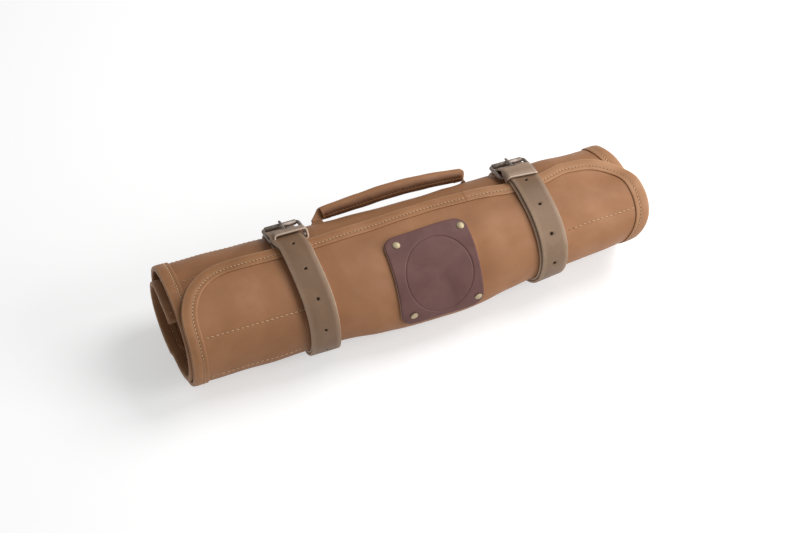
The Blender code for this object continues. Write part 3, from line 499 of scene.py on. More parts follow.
def resample(line, step, finer=3):
    # A smooth curve through the points, in equal steps
    counts = (np.diff(lengthsOf(line)) / step * finer).astype(int)
    fine = smoothCurve(line, np.maximum(counts, 2))
    run = lengthsOf(fine)
    even = np.linspace(0, run[-1], max(2, int(round(run[-1] / step))) + 1)
    return np.stack([np.interp(even, run, fine[:, k]) for k in range(line.shape[1])], axis=1)


def tangents(line):
    return unit(np.gradient(line, axis=0))


def quarterArc(start, steps):
    # Directions round a quarter turn
    angles = start + turn / 4 * np.arange(steps + 1) / steps
    return np.stack([np.cos(angles), np.sin(angles)], axis=1)


def roundOf(centre, radius, first, second, facets, flat=1.0):
    # A circle of points round each centre, from the first direction towards the second
    angles = (turn * np.arange(facets) / facets)[:, None]
    centre, radius, first, second = (np.asarray(v, float) for v in (centre, radius, first, second))
    spokes = np.cos(angles) * first[..., None, :] + np.sin(angles) * second[..., None, :] * flat
    return centre[..., None, :] + radius[..., None, None] * spokes


def tube(name, line, side, radii, materials, facets, flat=1.0):
    # A round bar along a line; side is a direction square to it, flat squashes the other way
    side = np.broadcast_to(side, line.shape)
    other = unit(np.cross(tangents(line), side))
    radii = np.broadcast_to(radii, (len(line),))
    return skin(name, roundOf(line, radii, side, other, facets, flat), materials, sharp=50)


# Materials

def startMaterial(name):
    material = bpy.data.materials.new(name)
    material.use_nodes = True
    return material, material.node_tree, material.node_tree.nodes["Principled BSDF"]


def setInputs(tree, node, inputs):
    for key, value in inputs.items():
        if isinstance(value, bpy.types.NodeSocket):
            tree.links.new(value, node.inputs[key])
        else:
            node.inputs[key].default_value = value


def addNode(tree, kind, inputs=None, **settings):
    node = tree.nodes.new(kind)
    for key, value in settings.items():
        setattr(node, key, value)
    setInputs(tree, node, inputs or {})
    return node


def noise(tree, where, scale, detail=3.0, roughness=0.55, distortion=0.0):
    return addNode(tree, "ShaderNodeTexNoise",
                   {"Vector": where, "Scale": scale, "Detail": detail,
                    "Roughness": roughness, "Distortion": distortion}).outputs["Fac"]


def ramp(tree, value, places, colors):
    node = addNode(tree, "ShaderNodeValToRGB", {"Fac": value})
    elements = node.color_ramp.elements
    while len(elements) < len(places):
        elements.new(0.5)
    for element, where, color in zip(elements, places, colors):
        element.position = where
        element.color = (*color, 1.0)
    return node.outputs["Color"]


def mixColor(tree, share, first, second):
    # The mix node repeats its socket names, once for each kind of value
    node = addNode(tree, "ShaderNodeMix", data_type="RGBA")
    sockets = {(socket.name, socket.type): socket for socket in node.inputs}
    tree.links.new(share, sockets["Factor", "VALUE"])
    tree.links.new(first, sockets["A", "RGBA"])
    sockets["B", "RGBA"].default_value = (*second, 1.0)
    return [socket for socket in node.outputs if socket.type == "RGBA"][0]


def between(tree, value, low, high, start=0.0, end=1.0):
    # From low to high while the value goes from start to end
    return addNode(tree, "ShaderNodeMapRange",
                   {"Value": value, "From Min": start, "From Max": end,
                    "To Min": low, "To Max": high}).outputs["Result"]


def combined(tree, first, second, operation="MULTIPLY"):
    return addNode(tree, "ShaderNodeMath", {0: first, 1: second},
                   operation=operation).outputs["Value"]


def relief(tree, height, strength, depth):
    return addNode(tree, "ShaderNodeBump", {"Strength": strength, "Distance": depth,
                                            "Height": height}).outputs["Normal"]


# What all leathers, metals and threads share: each noise's detail, roughness and bend, how
# much finer it is than the look's own scale, and the values between which it shows
hide = {
    "cloud": (4.0, 0.58, 0.6), "cloudStops": (0.30, 0.50, 0.68),
    "smudge": (3.0, 0.6), "smudgeFiner": 5.3, "smudgeStops": (0.42, 0.72),
    "scuff": (6.0, 0.7, 1.4), "scuffScale": 140.0, "scuffStops": (0.60, 0.74),
    "unevenScale": 260.0, "unevenStops": (0.3, 0.7), "unevenFrom": 0.82, "unevenTo": 1.10,
    "pores": 0.6, "fine": (5.0, 0.65), "fineFiner": 0.45, "shineStops": (0.3, 0.7),
    "sheenRoughness": 0.5,
}
plate = {
    "patch": (4.0, 0.6), "patchStops": (0.36, 0.64), "scratch": (4.0, 0.7),
    "scratchFiner": 7, "strength": 0.25, "depth": 0.0002, "shineStops": (0.35, 0.65),
}
yarn = {"scale": 1500.0, "detail": 2.0, "stops": (0.35, 0.6), "sheen": 0.15}


def leather(name, look):
    material, tree, shader = startMaterial(name)
    where = addNode(tree, "ShaderNodeTexCoord").outputs["Object"]
    cloud = noise(tree, where, look["cloudScale"], *hide["cloud"])
    color = ramp(tree, cloud, hide["cloudStops"], (look["dark"], look["base"], look["light"]))
    smudge = noise(tree, where, look["cloudScale"] * hide["smudgeFiner"], *hide["smudge"])
    color = mixColor(tree, between(tree, smudge, 0.0, look["smudge"], *hide["smudgeStops"]),
                     color, look["dark"])
    scuff = noise(tree, where, hide["scuffScale"], *hide["scuff"])
    color = mixColor(tree, between(tree, scuff, 0.0, look["scuff"], *hide["scuffStops"]),
                     color, look["wearAndPaintedLight"])
    # The attribute mixes towards the look's last colour: real wear on cut edges, painted highlight
    # on the strap fronts and binding nose, painted shade on the handle wrap
    wearAndPaintedLight = addNode(tree, "ShaderNodeAttribute", attribute_name="wearAndPaintedLight").outputs["Fac"]
    uneven = between(tree, noise(tree, where, hide["unevenScale"]), hide["unevenFrom"], hide["unevenTo"],
                     *hide["unevenStops"])
    wearAndPaintedLightMask = combined(tree, wearAndPaintedLight, uneven)
    color = mixColor(tree, between(tree, wearAndPaintedLightMask, 0.0, 1.0), color, look["wearAndPaintedLight"])
    pores = addNode(tree, "ShaderNodeTexVoronoi",
                    {"Vector": where, "Scale": look["grainScale"]}).outputs["Distance"]
    fine = noise(tree, where, look["grainScale"] * hide["fineFiner"], *hide["fine"])
    height = combined(tree, combined(tree, pores, hide["pores"]), fine, "ADD")
    setInputs(tree, shader, {
        "Base Color": color,
        "Normal": relief(tree, height, look["grainStrength"], look["grainDepth"]),
        "Roughness": between(tree, smudge, *look["roughness"], *hide["shineStops"]),
        "Specular IOR Level": look["specular"],
        "Sheen Weight": look["sheen"],
        "Sheen Roughness": hide["sheenRoughness"],
    })
    return material


def metal(name, look):
    material, tree, shader = startMaterial(name)
    where = addNode(tree, "ShaderNodeTexCoord").outputs["Object"]
    tarnish = noise(tree, where, look["patchScale"], *plate["patch"])
    scratches = noise(tree, where, look["patchScale"] * plate["scratchFiner"], *plate["scratch"])
    setInputs(tree, shader, {
        "Base Color": ramp(tree, tarnish, plate["patchStops"], (look["dark"], look["light"])),
        "Normal": relief(tree, scratches, plate["strength"], plate["depth"]),
        "Roughness": between(tree, tarnish, *look["roughness"], *plate["shineStops"]),
        "Metallic": look["metallic"],
    })
    return material


def thread(name, look):
    material, tree, shader = startMaterial(name)
    where = addNode(tree, "ShaderNodeTexCoord").outputs["Object"]
    twist = noise(tree, where, yarn["scale"], yarn["detail"])
    setInputs(tree, shader, {
        "Base Color": ramp(tree, twist, yarn["stops"], (look["dark"], look["light"])),
        "Roughness": look["roughness"],
        "Sheen Weight": yarn["sheen"],
    })
    return material


tanLook = {
    "dark": (0.252, 0.112, 0.048), "base": (0.322, 0.146, 0.064), "light": (0.372, 0.177, 0.083),
    "wearAndPaintedLight": (0.480, 0.270, 0.150), "cloudScale": 9.0, "smudge": 0.22, "scuff": 0.12,
    "grainScale": 950.0, "grainStrength": 0.22, "grainDepth": 0.0003,
    "roughness": (0.50, 0.62), "specular": 0.30, "sheen": 0.0,
}
bindingLook = {**tanLook, "dark": (0.268, 0.122, 0.052), "base": (0.330, 0.153, 0.067),
               "light": (0.385, 0.188, 0.089), "cloudScale": 20.0}
suedeLook = {**tanLook, "dark": (0.150, 0.078, 0.042), "base": (0.215, 0.118, 0.066),
             "light": (0.270, 0.155, 0.092), "roughness": (0.80, 0.92), "specular": 0.2,
             "sheen": 0.25, "grainStrength": 0.5, "scuff": 0.1}
strapLook = {
    "dark": (0.150, 0.088, 0.050), "base": (0.180, 0.106, 0.062), "light": (0.210, 0.128, 0.077),
    "wearAndPaintedLight": (0.500, 0.360, 0.250), "cloudScale": 15.0, "smudge": 0.15, "scuff": 0.06,
    "grainScale": 1300.0, "grainStrength": 0.12, "grainDepth": 0.0002,
    "roughness": (0.42, 0.52), "specular": 0.24, "sheen": 0.0,
}
bandLook = {**strapLook, "dark": (0.225, 0.150, 0.098), "base": (0.265, 0.180, 0.122),
            "light": (0.300, 0.208, 0.145), "wearAndPaintedLight": (0.560, 0.420, 0.330)}
# Raw cut edges are pale, and are painted paler still as light on the sides turned from the lamps
strapEdgeLook = {**strapLook, "dark": (0.460, 0.335, 0.245), "base": (0.570, 0.435, 0.330),
                 "light": (0.640, 0.500, 0.390), "wearAndPaintedLight": (0.700, 0.555, 0.440),
                 "roughness": (0.70, 0.85), "cloudScale": 90.0,
                 "grainStrength": 0.5}
badgeLook = {
    "dark": (0.118, 0.053, 0.047), "base": (0.142, 0.067, 0.060), "light": (0.160, 0.079, 0.071),
    "wearAndPaintedLight": (0.30, 0.18, 0.15), "cloudScale": 26.0, "smudge": 0.20, "scuff": 0.06,
    "grainScale": 1500.0, "grainStrength": 0.14, "grainDepth": 0.0002,
    "roughness": (0.46, 0.56), "specular": 0.22, "sheen": 0.0,
}
# The badge's raw cut side is pale, and is painted paler still as light on the side turned from the
# lamps
badgeEdgeLook = {**strapEdgeLook, "dark": (0.400, 0.280, 0.210), "base": (0.540, 0.400, 0.310),
                 "light": (0.620, 0.480, 0.380)}
# Painted shade colour for the handle wrap's lower half and seam recess
shadedGripLook = {**tanLook, "wearAndPaintedLight": (0.070, 0.027, 0.011)}
bronzeLook = {"dark": (0.195, 0.157, 0.133), "light": (0.345, 0.285, 0.242),
              "patchScale": 160.0, "roughness": (0.38, 0.52), "metallic": 0.62}
brassLook = {"dark": (0.420, 0.335, 0.200), "light": (0.540, 0.445, 0.285),
             "patchScale": 220.0, "roughness": (0.46, 0.58), "metallic": 0.45}

tanLeather = leather("tan leather", tanLook)
bindingLeather = leather("binding leather", bindingLook)
suede = leather("flesh side", suedeLook)
strapLeather = leather("strap leather", strapLook)
keeperLeather = leather("keeper leather", bandLook)
strapEdge = leather("strap cut edge", strapEdgeLook)
badgeLeather = leather("badge leather", badgeLook)
badgeEdge = leather("badge cut edge", badgeEdgeLook)
shadedGripLeather = leather("grip leather with painted shade", shadedGripLook)
bronze = metal("antique bronze", bronzeLook)
brass = metal("pale brass", brassLook)
tanThread = thread("tan thread", {"dark": (0.46, 0.27, 0.14), "light": (0.68, 0.46, 0.28),
                                  "roughness": 0.6})
brownThread = thread("brown thread", {"dark": (0.08, 0.035, 0.016), "light": (0.16, 0.075, 0.036),
                                      "roughness": 0.65})
# Needle holes are painted near black: painted shade inside the holes
needleHoleShade = thread("needle hole painted shade", {"dark": (0.020, 0.011, 0.007), "light": (0.045, 0.024, 0.014),
                                    "roughness": 0.9})
cordFibre = thread("cotton cord", {"dark": (0.42, 0.37, 0.28), "light": (0.62, 0.57, 0.46),
                                   "roughness": 0.9})
print("materials ready")


# Stitching

stitch = {
    "pitch": 0.0038, "length": 0.0027, "radius": 0.00046, "slant": 0.00062, "facets": 6,
    # Along the thread, then height and thickness in radii
    "bow": ((0.0, -0.7, 0.5), (0.12, 0.35, 0.9), (0.5, 0.75, 1.0), (0.88, 0.35, 0.9),
            (1.0, -0.7, 0.5)),
    "holeRadius": 0.00056, "holeFlat": 0.9, "holeRise": 0.00006, "holeDepth": 0.0002,
    "bare": 0, "bareWide": 2.2,
}
seamStitch = {**stitch, "pitch": 0.0050, "length": 0.0039, "radius": 0.00034, "slant": 0.0002,
              "holeRadius": 0.00032, "bare": 2}


def stitchRow(name, line, normals, material=tanThread, look=stitch, holes=True):
    # Short threads along a line of points, each dipping into the leather at its ends; the
    # line's last few needle holes may be left bare
    run = lengthsOf(line)
    pitch, length, radius, facets = (look[k] for k in ("pitch", "length", "radius", "facets"))
    count = max(1, int(run[-1] / pitch))
    starts = (run[-1] - count * pitch) / 2 + pitch * np.arange(count)
    needled = starts[:-1] + pitch
    starts = starts[:count - look["bare"]]

    def at(distance, values):
        return np.stack([np.interp(distance, run, values[:, k]) for k in range(3)], axis=1)

    rest = (pitch - length) / 2
    first, last = at(starts + rest, line), at(starts + rest + length, line)
    out = unit(at(starts + pitch / 2, normals))
    side = np.cross(unit(last - first), out)
    rings = []
    for share, height, thick in look["bow"]:
        centre = (first + (last - first) * share + out * height * radius
                  + side * look["slant"] * (2 * share - 1))
        rings.append(roundOf(centre, radius * thick, side, out, facets))
    points = np.stack(rings, axis=1).reshape(-1, 3)            # stitch by stitch
    faces = [face for s in range(len(starts))
             for face in stackFaces(len(rings), facets, s * len(rings) * facets)]
    slots, materials = [0] * len(faces), [material]
    # Needle holes: small cones in the leather with painted shade
    if holes:
        middles, out = at(needled, line), at(needled, normals)
        along = unit(at(needled + length / 4, line) - middles)
        isBare = needled > needled[-1] - look["bare"] * pitch
        wide = look["holeRadius"] * np.where(isBare, look["bareWide"], 1.0)
        rims = roundOf(middles, wide, along * look["holeFlat"], np.cross(along, out), facets)
        tips = np.stack([middles + out * look["holeRise"], middles - out * look["holeDepth"]],
                        axis=1)
        for s in range(len(middles)):
            start = len(points) + s * (facets + 2)
            for j in range(facets):
                k = (j + 1) % facets
                faces.append((start + j, start + k, start + facets))
                faces.append((start + k, start + j, start + facets + 1))
        slots += [1] * (len(faces) - len(slots))
        points = np.vstack([points, np.concatenate([rims, tips], axis=1).reshape(-1, 3)])
        materials.append(needleHoleShade)
    return meshPiece(name, points, faces, materials, slots, sharp=60)


# Sheet with its pocket seams

seamLook = {
    "groove": 0.00030, "width": 0.0011, "fadeIn": 0.001, "fadeRun": 0.003, "points": 40,
    "near": (-0.0022, -0.0011, -0.0005, 0, 0.0005, 0.0011, 0.0022), "endRoom": 0.02,
    "left": {"end": -0.0855, "pitch": 0.045, "degrees": (62, 102, 150, 200, 250, 298, 346)},
    "right": {"end": 0.1566, "pitch": 0.0855, "degrees": (60, 142, 232, 292)},
}
sheetLook = {"columns": 120, "step": 0.0034, "closest": 0.0003, "cornerSteps": 26}


def seamList():
    # Seams of the first turn by their angle, then evenly on to the sheet's end
    found = []
    for sideName, side in sides.items():
        look = seamLook[sideName]
        places = [float(lengthAt(math.radians(degrees))) for degrees in look["degrees"]]
        while places[-1] + look["pitch"] < sheetEnd - seamLook["endRoom"]:
            places.append(places[-1] + look["pitch"])
        found += [{"side": side, "u": u, "end": look["end"]} for u in places]
    return found


seams = seamList()


def seamGroove(u, x):
    along = x + lean(u)
    groove = np.zeros(np.broadcast(u, x).shape)
    for seam in seams:
        past = seam["side"] * (along - seam["end"]) + seamLook["fadeIn"]
        groove = groove + (smoothShare(past / seamLook["fadeRun"])
                           * bump(u, seam["u"], seamLook["width"]))
    return groove * seamLook["groove"]


def cornerCut(distance, radius):
    inside = np.clip(radius - distance, 0.0, radius)
    return radius - np.sqrt(radius ** 2 - inside ** 2)


def sheetStations(start, end, step, extra=()):
    rows = np.linspace(start, end, int((end - start) / step) + 1)
    rows = np.concatenate([rows, [u for u in extra if start < u < end]])
    rows = np.unique(np.round(rows, 5))
    return rows[np.concatenate([[True], np.diff(rows) > sheetLook["closest"]])]


def cornerRows(radius, steps):
    # Distances from a corner's end at even angles round it
    return radius * (1 - np.cos(np.linspace(0, turn / 4, steps)))


def layer(u, x, outer, inner):
    # Rings round a flat piece, between two heights over the middle of the sheet
    return np.concatenate([sheetPlace(u, x, outer), sheetPlace(u, x, inner)[:, ::-1]], axis=1)


def buildSheet():
    curve = cornerRows(winding["cornerRadius"], sheetLook["cornerSteps"])
    fine = [seam["u"] + d for seam in seams for d in seamLook["near"]]
    rows = sheetStations(0.0, sheetEnd, sheetLook["step"], list(curve) + fine)
    left = cornerCut(rows, winding["cornerRadius"]) - winding["length"] / 2
    right = winding["length"] / 2 - cornerCut(rows, winding["rightRadius"])
    share = np.linspace(0, 1, sheetLook["columns"])
    x = left[:, None] * (1 - share) + right[:, None] * share
    u = np.repeat(rows[:, None], len(share), axis=1)
    swell = billow(u, x)
    rings = layer(u, x, halfSheet + swell - seamGroove(u, x), -halfSheet + swell)
    slotAround = [0] * len(share) + [1] * len(share)
    piece = skin("rolled_sheet", rings, [tanLeather, suede], slotAround=slotAround, wearAndPaintedLight=0.0)
    place(piece, "roll", "tan_leather", "outer_panel")


buildSheet()
print("sheet")


# Binding

def bindingPath(step, cornerSteps):
    # (u, x, inward u, inward x) from one side of the butt joint round to the other
    half, butt = winding["length"] / 2, bindingStrip["buttX"]
    left, right = winding["cornerRadius"], winding["rightRadius"]
    path = [(0.0, butt - gap / 2, 1.0, 0.0)]

    def straight(a, b, inward):
        count = max(2, int(math.dist(a, b) / step))
        for k in range(1, count):
            path.append((a[0] + (b[0] - a[0]) * k / count, a[1] + (b[1] - a[1]) * k / count,
                         *inward))

    def corner(side, radius, order):
        for k in order:
            a = turn / 4 * k / cornerSteps
            path.append((radius * (1 - math.cos(a)), side * (half - radius * (1 - math.sin(a))),
                         math.cos(a), -side * math.sin(a)))

    straight((0.0, butt), (0.0, left - half), (1.0, 0.0))
    corner(-1, left, range(cornerSteps + 1))
    straight((left, -half), (sheetEnd, -half), (0.0, 1.0))
    path.append((sheetEnd, -half, -1.0, 1.0))
    straight((sheetEnd, -half), (sheetEnd, half), (-1.0, 0.0))
    path.append((sheetEnd, half, -1.0, -1.0))
    straight((sheetEnd, half), (right, half), (0.0, -1.0))
    corner(1, right, range(cornerSteps, -1, -1))
    straight((0.0, half - right), (0.0, butt), (1.0, 0.0))
    path.append((0.0, butt + gap / 2, 1.0, 0.0))
    return np.array(path)


def bindingProfile():
    # (inwards, w, rub) round the folded strip's section; the nose's rub is partly a painted
    # highlight
    look = bindingStrip
    outer, inner, nose = bindingHalf, halfSheet + gap, look["noseRadius"]
    face = []
    for share in look["faceShares"]:
        deep = look["width"] * share
        raised = (look["puff"] * math.sin(math.pi * min(deep / look["stitchIn"], 1.0))
                  - look["groove"] * bump(deep, look["stitchIn"], look["grooveWidth"]))
        cut = share == 1.0
        face.append((deep, outer + raised - cut * look["edgeDrop"], cut * look["edgeRub"]))
    for a in np.linspace(look["noseFrom"], turn / 4, look["noseSteps"]):
        face.append((nose - bindingProud - nose * math.sin(a),
                     outer - nose + nose * math.cos(a), look["noseRubAndHighlight"]))
    mirrored = [(deep, -w, rubAndHighlight) for deep, w, rubAndHighlight in reversed(face)]
    within = (look["width"], look["width"] / 2, -gap)
    inside = [(deep, -inner, 0.0) for deep in within]
    inside += [(deep, inner, 0.0) for deep in reversed(within)]
    return np.array(face + mirrored + inside)


def bindingLine(path, deep, w):
    # A line so far in from the binding's path, and the way out along it
    u = path[:, 0] + path[:, 2] * deep
    x = path[:, 1] + path[:, 3] * deep
    return sheetPlace(u, x, w + billow(u, x)), sheetNormal(u) * (1 if w > 0 else -1)


def buildBinding():
    look = bindingStrip
    path = bindingPath(look["step"], look["cornerSteps"])
    profile = bindingProfile()
    u = path[:, 0:1] + path[:, 2:3] * profile[None, :, 0]
    x = path[:, 1:2] + path[:, 3:4] * profile[None, :, 0]
    rings = sheetPlace(u, x, profile[None, :, 1] + billow(u, x))
    run = lengthsOf(path[:, :2])
    # The strip's last stretch, right of the butt joint, is paler than its first
    pale = look["pale"] * smoothShare(1 - (run[-1] - run) / look["paleRun"])
    wearAndPaintedLight = profile[None, :, 2] + pale[:, None]
    piece = skin("edge_binding_strip", rings, [bindingLeather], wearAndPaintedLight=wearAndPaintedLight)
    place(piece, "roll", "tan_leather", "edge_binding")
    fine = bindingPath(look["fineStep"], look["fineCornerSteps"])
    for name, sign in (("outer", 1), ("inner", -1)):
        height = sign * (bindingHalf - look["groove"] * look["threadSunk"])
        line, normals = bindingLine(fine, look["stitchIn"], height)
        row = stitchRow("binding_stitches_" + name, line, normals, holes=sign > 0)
        place(row, "roll", "tan_leather")


buildBinding()
print("binding")


# Pocket strips and their seams

pocketLook = {
    "thickness": 0.0012, "depth": {"left": 0.144, "right": 0.075}, "startMargin": 0.002,
    "endMargin": 0.030, "step": 0.005, "columns": 26, "near": (-0.002, 0, 0.002),
    "puff": 0.0005, "seamReach": 0.015, "mouthReach": 0.03,
}


def buildPocket(sideName, side):
    look = pocketLook
    edge = winding["length"] / 2 - bindingStrip["width"] - gap
    mouth = edge - look["depth"][sideName]
    start = winding["cornerRadius"] + look["startMargin"]
    places = np.array([seam["u"] for seam in seams if seam["side"] == side])
    fine = [u + d for u in places for d in look["near"]]
    rows = sheetStations(start, sheetEnd - look["endMargin"], look["step"], fine)
    u, x = np.meshgrid(rows, np.linspace(edge, mouth, look["columns"]) * side, indexing="ij")
    near = np.min(np.abs(rows[:, None] - places[None]), axis=1)
    puff = look["puff"] * smoothShare(near / look["seamReach"])[:, None]
    fromMouth = np.abs(x) - abs(mouth) + look["mouthReach"]
    puff = puff * smoothShare(fromMouth / (2 * look["mouthReach"]))
    half = look["thickness"] / 2
    middle = -(halfSheet + gap + half) - puff + billow(u, x)
    piece = skin("pocket_" + sideName, layer(u, x, middle + half, middle - half),
                 [tanLeather], wearAndPaintedLight=0.0)
    place(piece, "roll", "tan_leather", "pocket_strip_" + sideName)


def buildSeams(sideName, side):
    outerX = side * (winding["length"] / 2 - bindingStrip["width"])
    height = halfSheet - seamLook["groove"] * bindingStrip["threadSunk"]
    for number, seam in enumerate((seam for seam in seams if seam["side"] == side), 1):
        x = np.linspace(outerX, seam["end"] - lean(seam["u"]), seamLook["points"])
        u = np.full(x.shape, seam["u"])
        row = stitchRow("pocket_seam_%s_%d" % (sideName, number),
                        sheetPlace(u, x, height + billow(u, x)), sheetNormal(u), look=seamStitch)
        place(row, "roll", "tan_leather")


for sideName, side in sides.items():
    buildPocket(sideName, side)
    buildSeams(sideName, side)
print("pockets and seams")


# Straps

def barFrame():
    normal = normalAt(under(heelU))
    return overLower(heelU, barHeight), np.array((-normal[1], normal[0])), normal


def frontLayer(extra, end):
    # From above the heel bar over the flap's edge and round to the end
    proud = bindingProud + strapSeat
    lip = -(bindingProud + gap)
    width = bindingStrip["width"]
    line = [overLower(heelU, barHeight + chapeRadius + extra), overFlap(lip, proud + extra)]
    step = strapCut["frontStep"]
    marks = np.concatenate([[width, width + strapCut["settle"]], np.arange(lip + step, end, step)])
    for u in sorted(set(np.round(marks[marks < end], 6))) + [end]:
        share = smoothShare((u - width) / strapCut["settle"])
        line.append(overFlap(u, proud + (strapSeat - proud) * share + extra))
    return line


def strapLine():
    # The short end, round the heel bar, round the roll, under the roller and down the front
    centre, along, normal = barFrame()
    line = [overLower(-(bindingProud + gap) - strapCut["thickness"] / 2, strapSeat)]
    for k in range(strapCut["foldSteps"] + 1):
        a = -turn / 4 - turn / 2 * k / strapCut["foldSteps"]
        line.append(centre + chapeRadius * (math.cos(a) * along + math.sin(a) * normal))
    line += frontLayer(0.0, under(rollerU - strapCut["liftRun"]))[1:]
    low = rollerHeight - buckle["roller"] - strapSeat
    for share in strapCut["liftShares"]:
        line.append(overLower(rollerU - strapCut["liftRun"] * (1 - share),
                              strapSeat + (low - strapSeat) * smoothShare(share)))
    atRoller = line[-1]
    top = barHeight + chapeRadius + strapStep
    start = rollerU + strapCut["riseStart"]
    for share in np.arange(strapCut["riseSteps"]) / strapCut["riseSteps"]:
        height = low + (top - low) * (1 - (1 - share) ** strapCut["risePower"])
        line.append(overLower(start + (heelU - start) * share, height))
    line += frontLayer(strapStep, float(lengthAt(strapCut["tailEnd"])))
    line = resample(np.array(line), strapCut["step"])
    nearest = np.argmin(np.linalg.norm(line - atRoller, axis=1))
    return line, float(lengthsOf(line)[nearest])


def strapRing(half, thick):
    # Rounded rectangle (across, out) and how worn it is, the flat faces in a few steps
    r, steps = strapCut["edgeRadius"], strapCut["cornerSteps"]
    points, wearAndPaintedLight = [], []
    for sx, sy, start in quarters:
        cut = 0 if sx * sy > 0 else steps       # this end of the corner is on the cut edge
        for k, (dx, dy) in enumerate(quarterArc(start, steps)):
            points.append((sx * (half - r) + r * dx, sy * (thick - r) + r * dy))
            wearAndPaintedLight.append(strapCut["cutRub" if k == cut else "cornerRub"])
        if sx * sy > 0:
            for k in range(1, strapCut["faceSteps"]):
                points.append((sx * (half - r) * (1 - 2 * k / strapCut["faceSteps"]), sy * thick))
                wearAndPaintedLight.append(0.0)
    return np.array(points), np.array(wearAndPaintedLight)


def strapSlots(ring):
    # A face between two points out at the band's side is a cut edge
    reach = np.max(np.abs(ring[:, 0]))
    slots = []
    for j in range(len(ring)):
        k = (j + 1) % len(ring)
        side = min(abs(ring[j, 0]), abs(ring[k, 0])) > reach - strapCut["edgeRadius"] / 2
        slots.append(1 if side else 0)
    return slots


def prongPath():
    heel = barFrame()[0]
    reach = overLower(rollerU, rollerHeight) - heel
    length = np.linalg.norm(reach)
    over = buckle["roller"] + gap + buckle["prong"]
    turned = math.atan2(reach[1], reach[0]) + math.asin((over - hookRadius) / length)
    forward = np.array((math.cos(turned), math.sin(turned)))
    outward = np.array((-forward[1], forward[0]))
    line = [heel + outward * hookRadius + forward * (length + buckle["overhang"]) * share
            for share in buckle["prongShares"]]
    for k in range(buckle["hookSteps"] + 1):
        a = buckle["hookAngle"] * k / buckle["hookSteps"]
        line.append(heel + (outward * math.cos(a) - forward * math.sin(a)) * hookRadius)
    return np.array(line), heel, forward, outward


def slotRings(x):
    # The prong's slot: an outline beside the heel bar, on both sides of the prong
    thick = strapCut["thickness"]
    heel, forward, outward = prongPath()[1:]
    half = buckle["prong"] + buckle["slotRoom"]
    chapeTop = chapeRadius + thick / 2 + gap / 2
    low = -(chapeRadius + thick / 2 + gap)
    near, far = hookRadius + half, buckle["reach"] * strapCut["slotShare"]
    high = chapeTop + thick + strapCut["slotOver"]
    profile = ((-near, low), (-near, chapeTop), (chapeRadius / 2, chapeTop),
               (chapeRadius / 2, high), (far, high), (far, 0.0), (near, 0.0), (near, low))
    return [[(x + aside, *(heel + forward * a + outward * o)) for a, o in profile]
            for aside in (-half, half)]


def holeRings(sideName, spot, direction):
    # A punched hole with a bevelled rim, square to the strap's line
    out = np.array((0.0, direction[1], -direction[0]))
    x = (acrossStrap(sideName, spot[1]) + strapDrift(sideName, "tail", spot)
         - strapCut[sideName]["narrow"])
    centre = settle((x, *spot), ends=False) + out * strapCut["holeOut"]
    return [roundOf(centre + out * depth, strapCut["holeRadius"] * wide, (1.0, 0.0, 0.0),
                    (0.0, *direction), strapCut["holeFacets"])
            for depth, wide in strapCut["holeBevel"]]


def strapCutter(sideName, line, atRoller):
    # The prong's slot and the punched holes, as one piece to cut with
    run, along = lengthsOf(line), tangents(line)
    first = (atRoller + buckle["reach"] * strapCut["crossing"] + strapCut[sideName]["holes"]
             + strapCut["holePitch"])
    stacks = [slotRings(strapCut[sideName]["x"])]
    for distance in first + strapCut["holePitch"] * np.arange(strapCut["holeCount"]):
        spot, direction = (np.array([np.interp(distance, run, values[:, c]) for c in (0, 1)])
                           for values in (line, along))
        stacks.append(holeRings(sideName, spot, direction))
    points, faces = [], []
    for rings in stacks:
        faces += stackFaces(len(rings), len(rings[0]), len(points))
        points += [spot for ring in rings for spot in ring]
    tool = meshPiece("cutter", points, faces, [keeperLeather])
    tool.data.shade_flat()
    return tool


def applyCut(piece, tool):
    step = piece.modifiers.new("cut", "BOOLEAN")
    step.operation = "DIFFERENCE"
    step.solver = "EXACT"
    step.material_mode = "TRANSFER"
    step.object = tool
    bpy.context.view_layer.update()
    graph = bpy.context.evaluated_depsgraph_get()
    mesh = bpy.data.meshes.new_from_object(piece.evaluated_get(graph))
    piece.modifiers.clear()
    old, name = piece.data, piece.data.name
    piece.data = mesh
    bpy.data.meshes.remove(old)
    mesh.name = name
    mesh.set_sharp_from_angle(angle=math.radians(sharpFrom))
    bpy.data.objects.remove(tool)


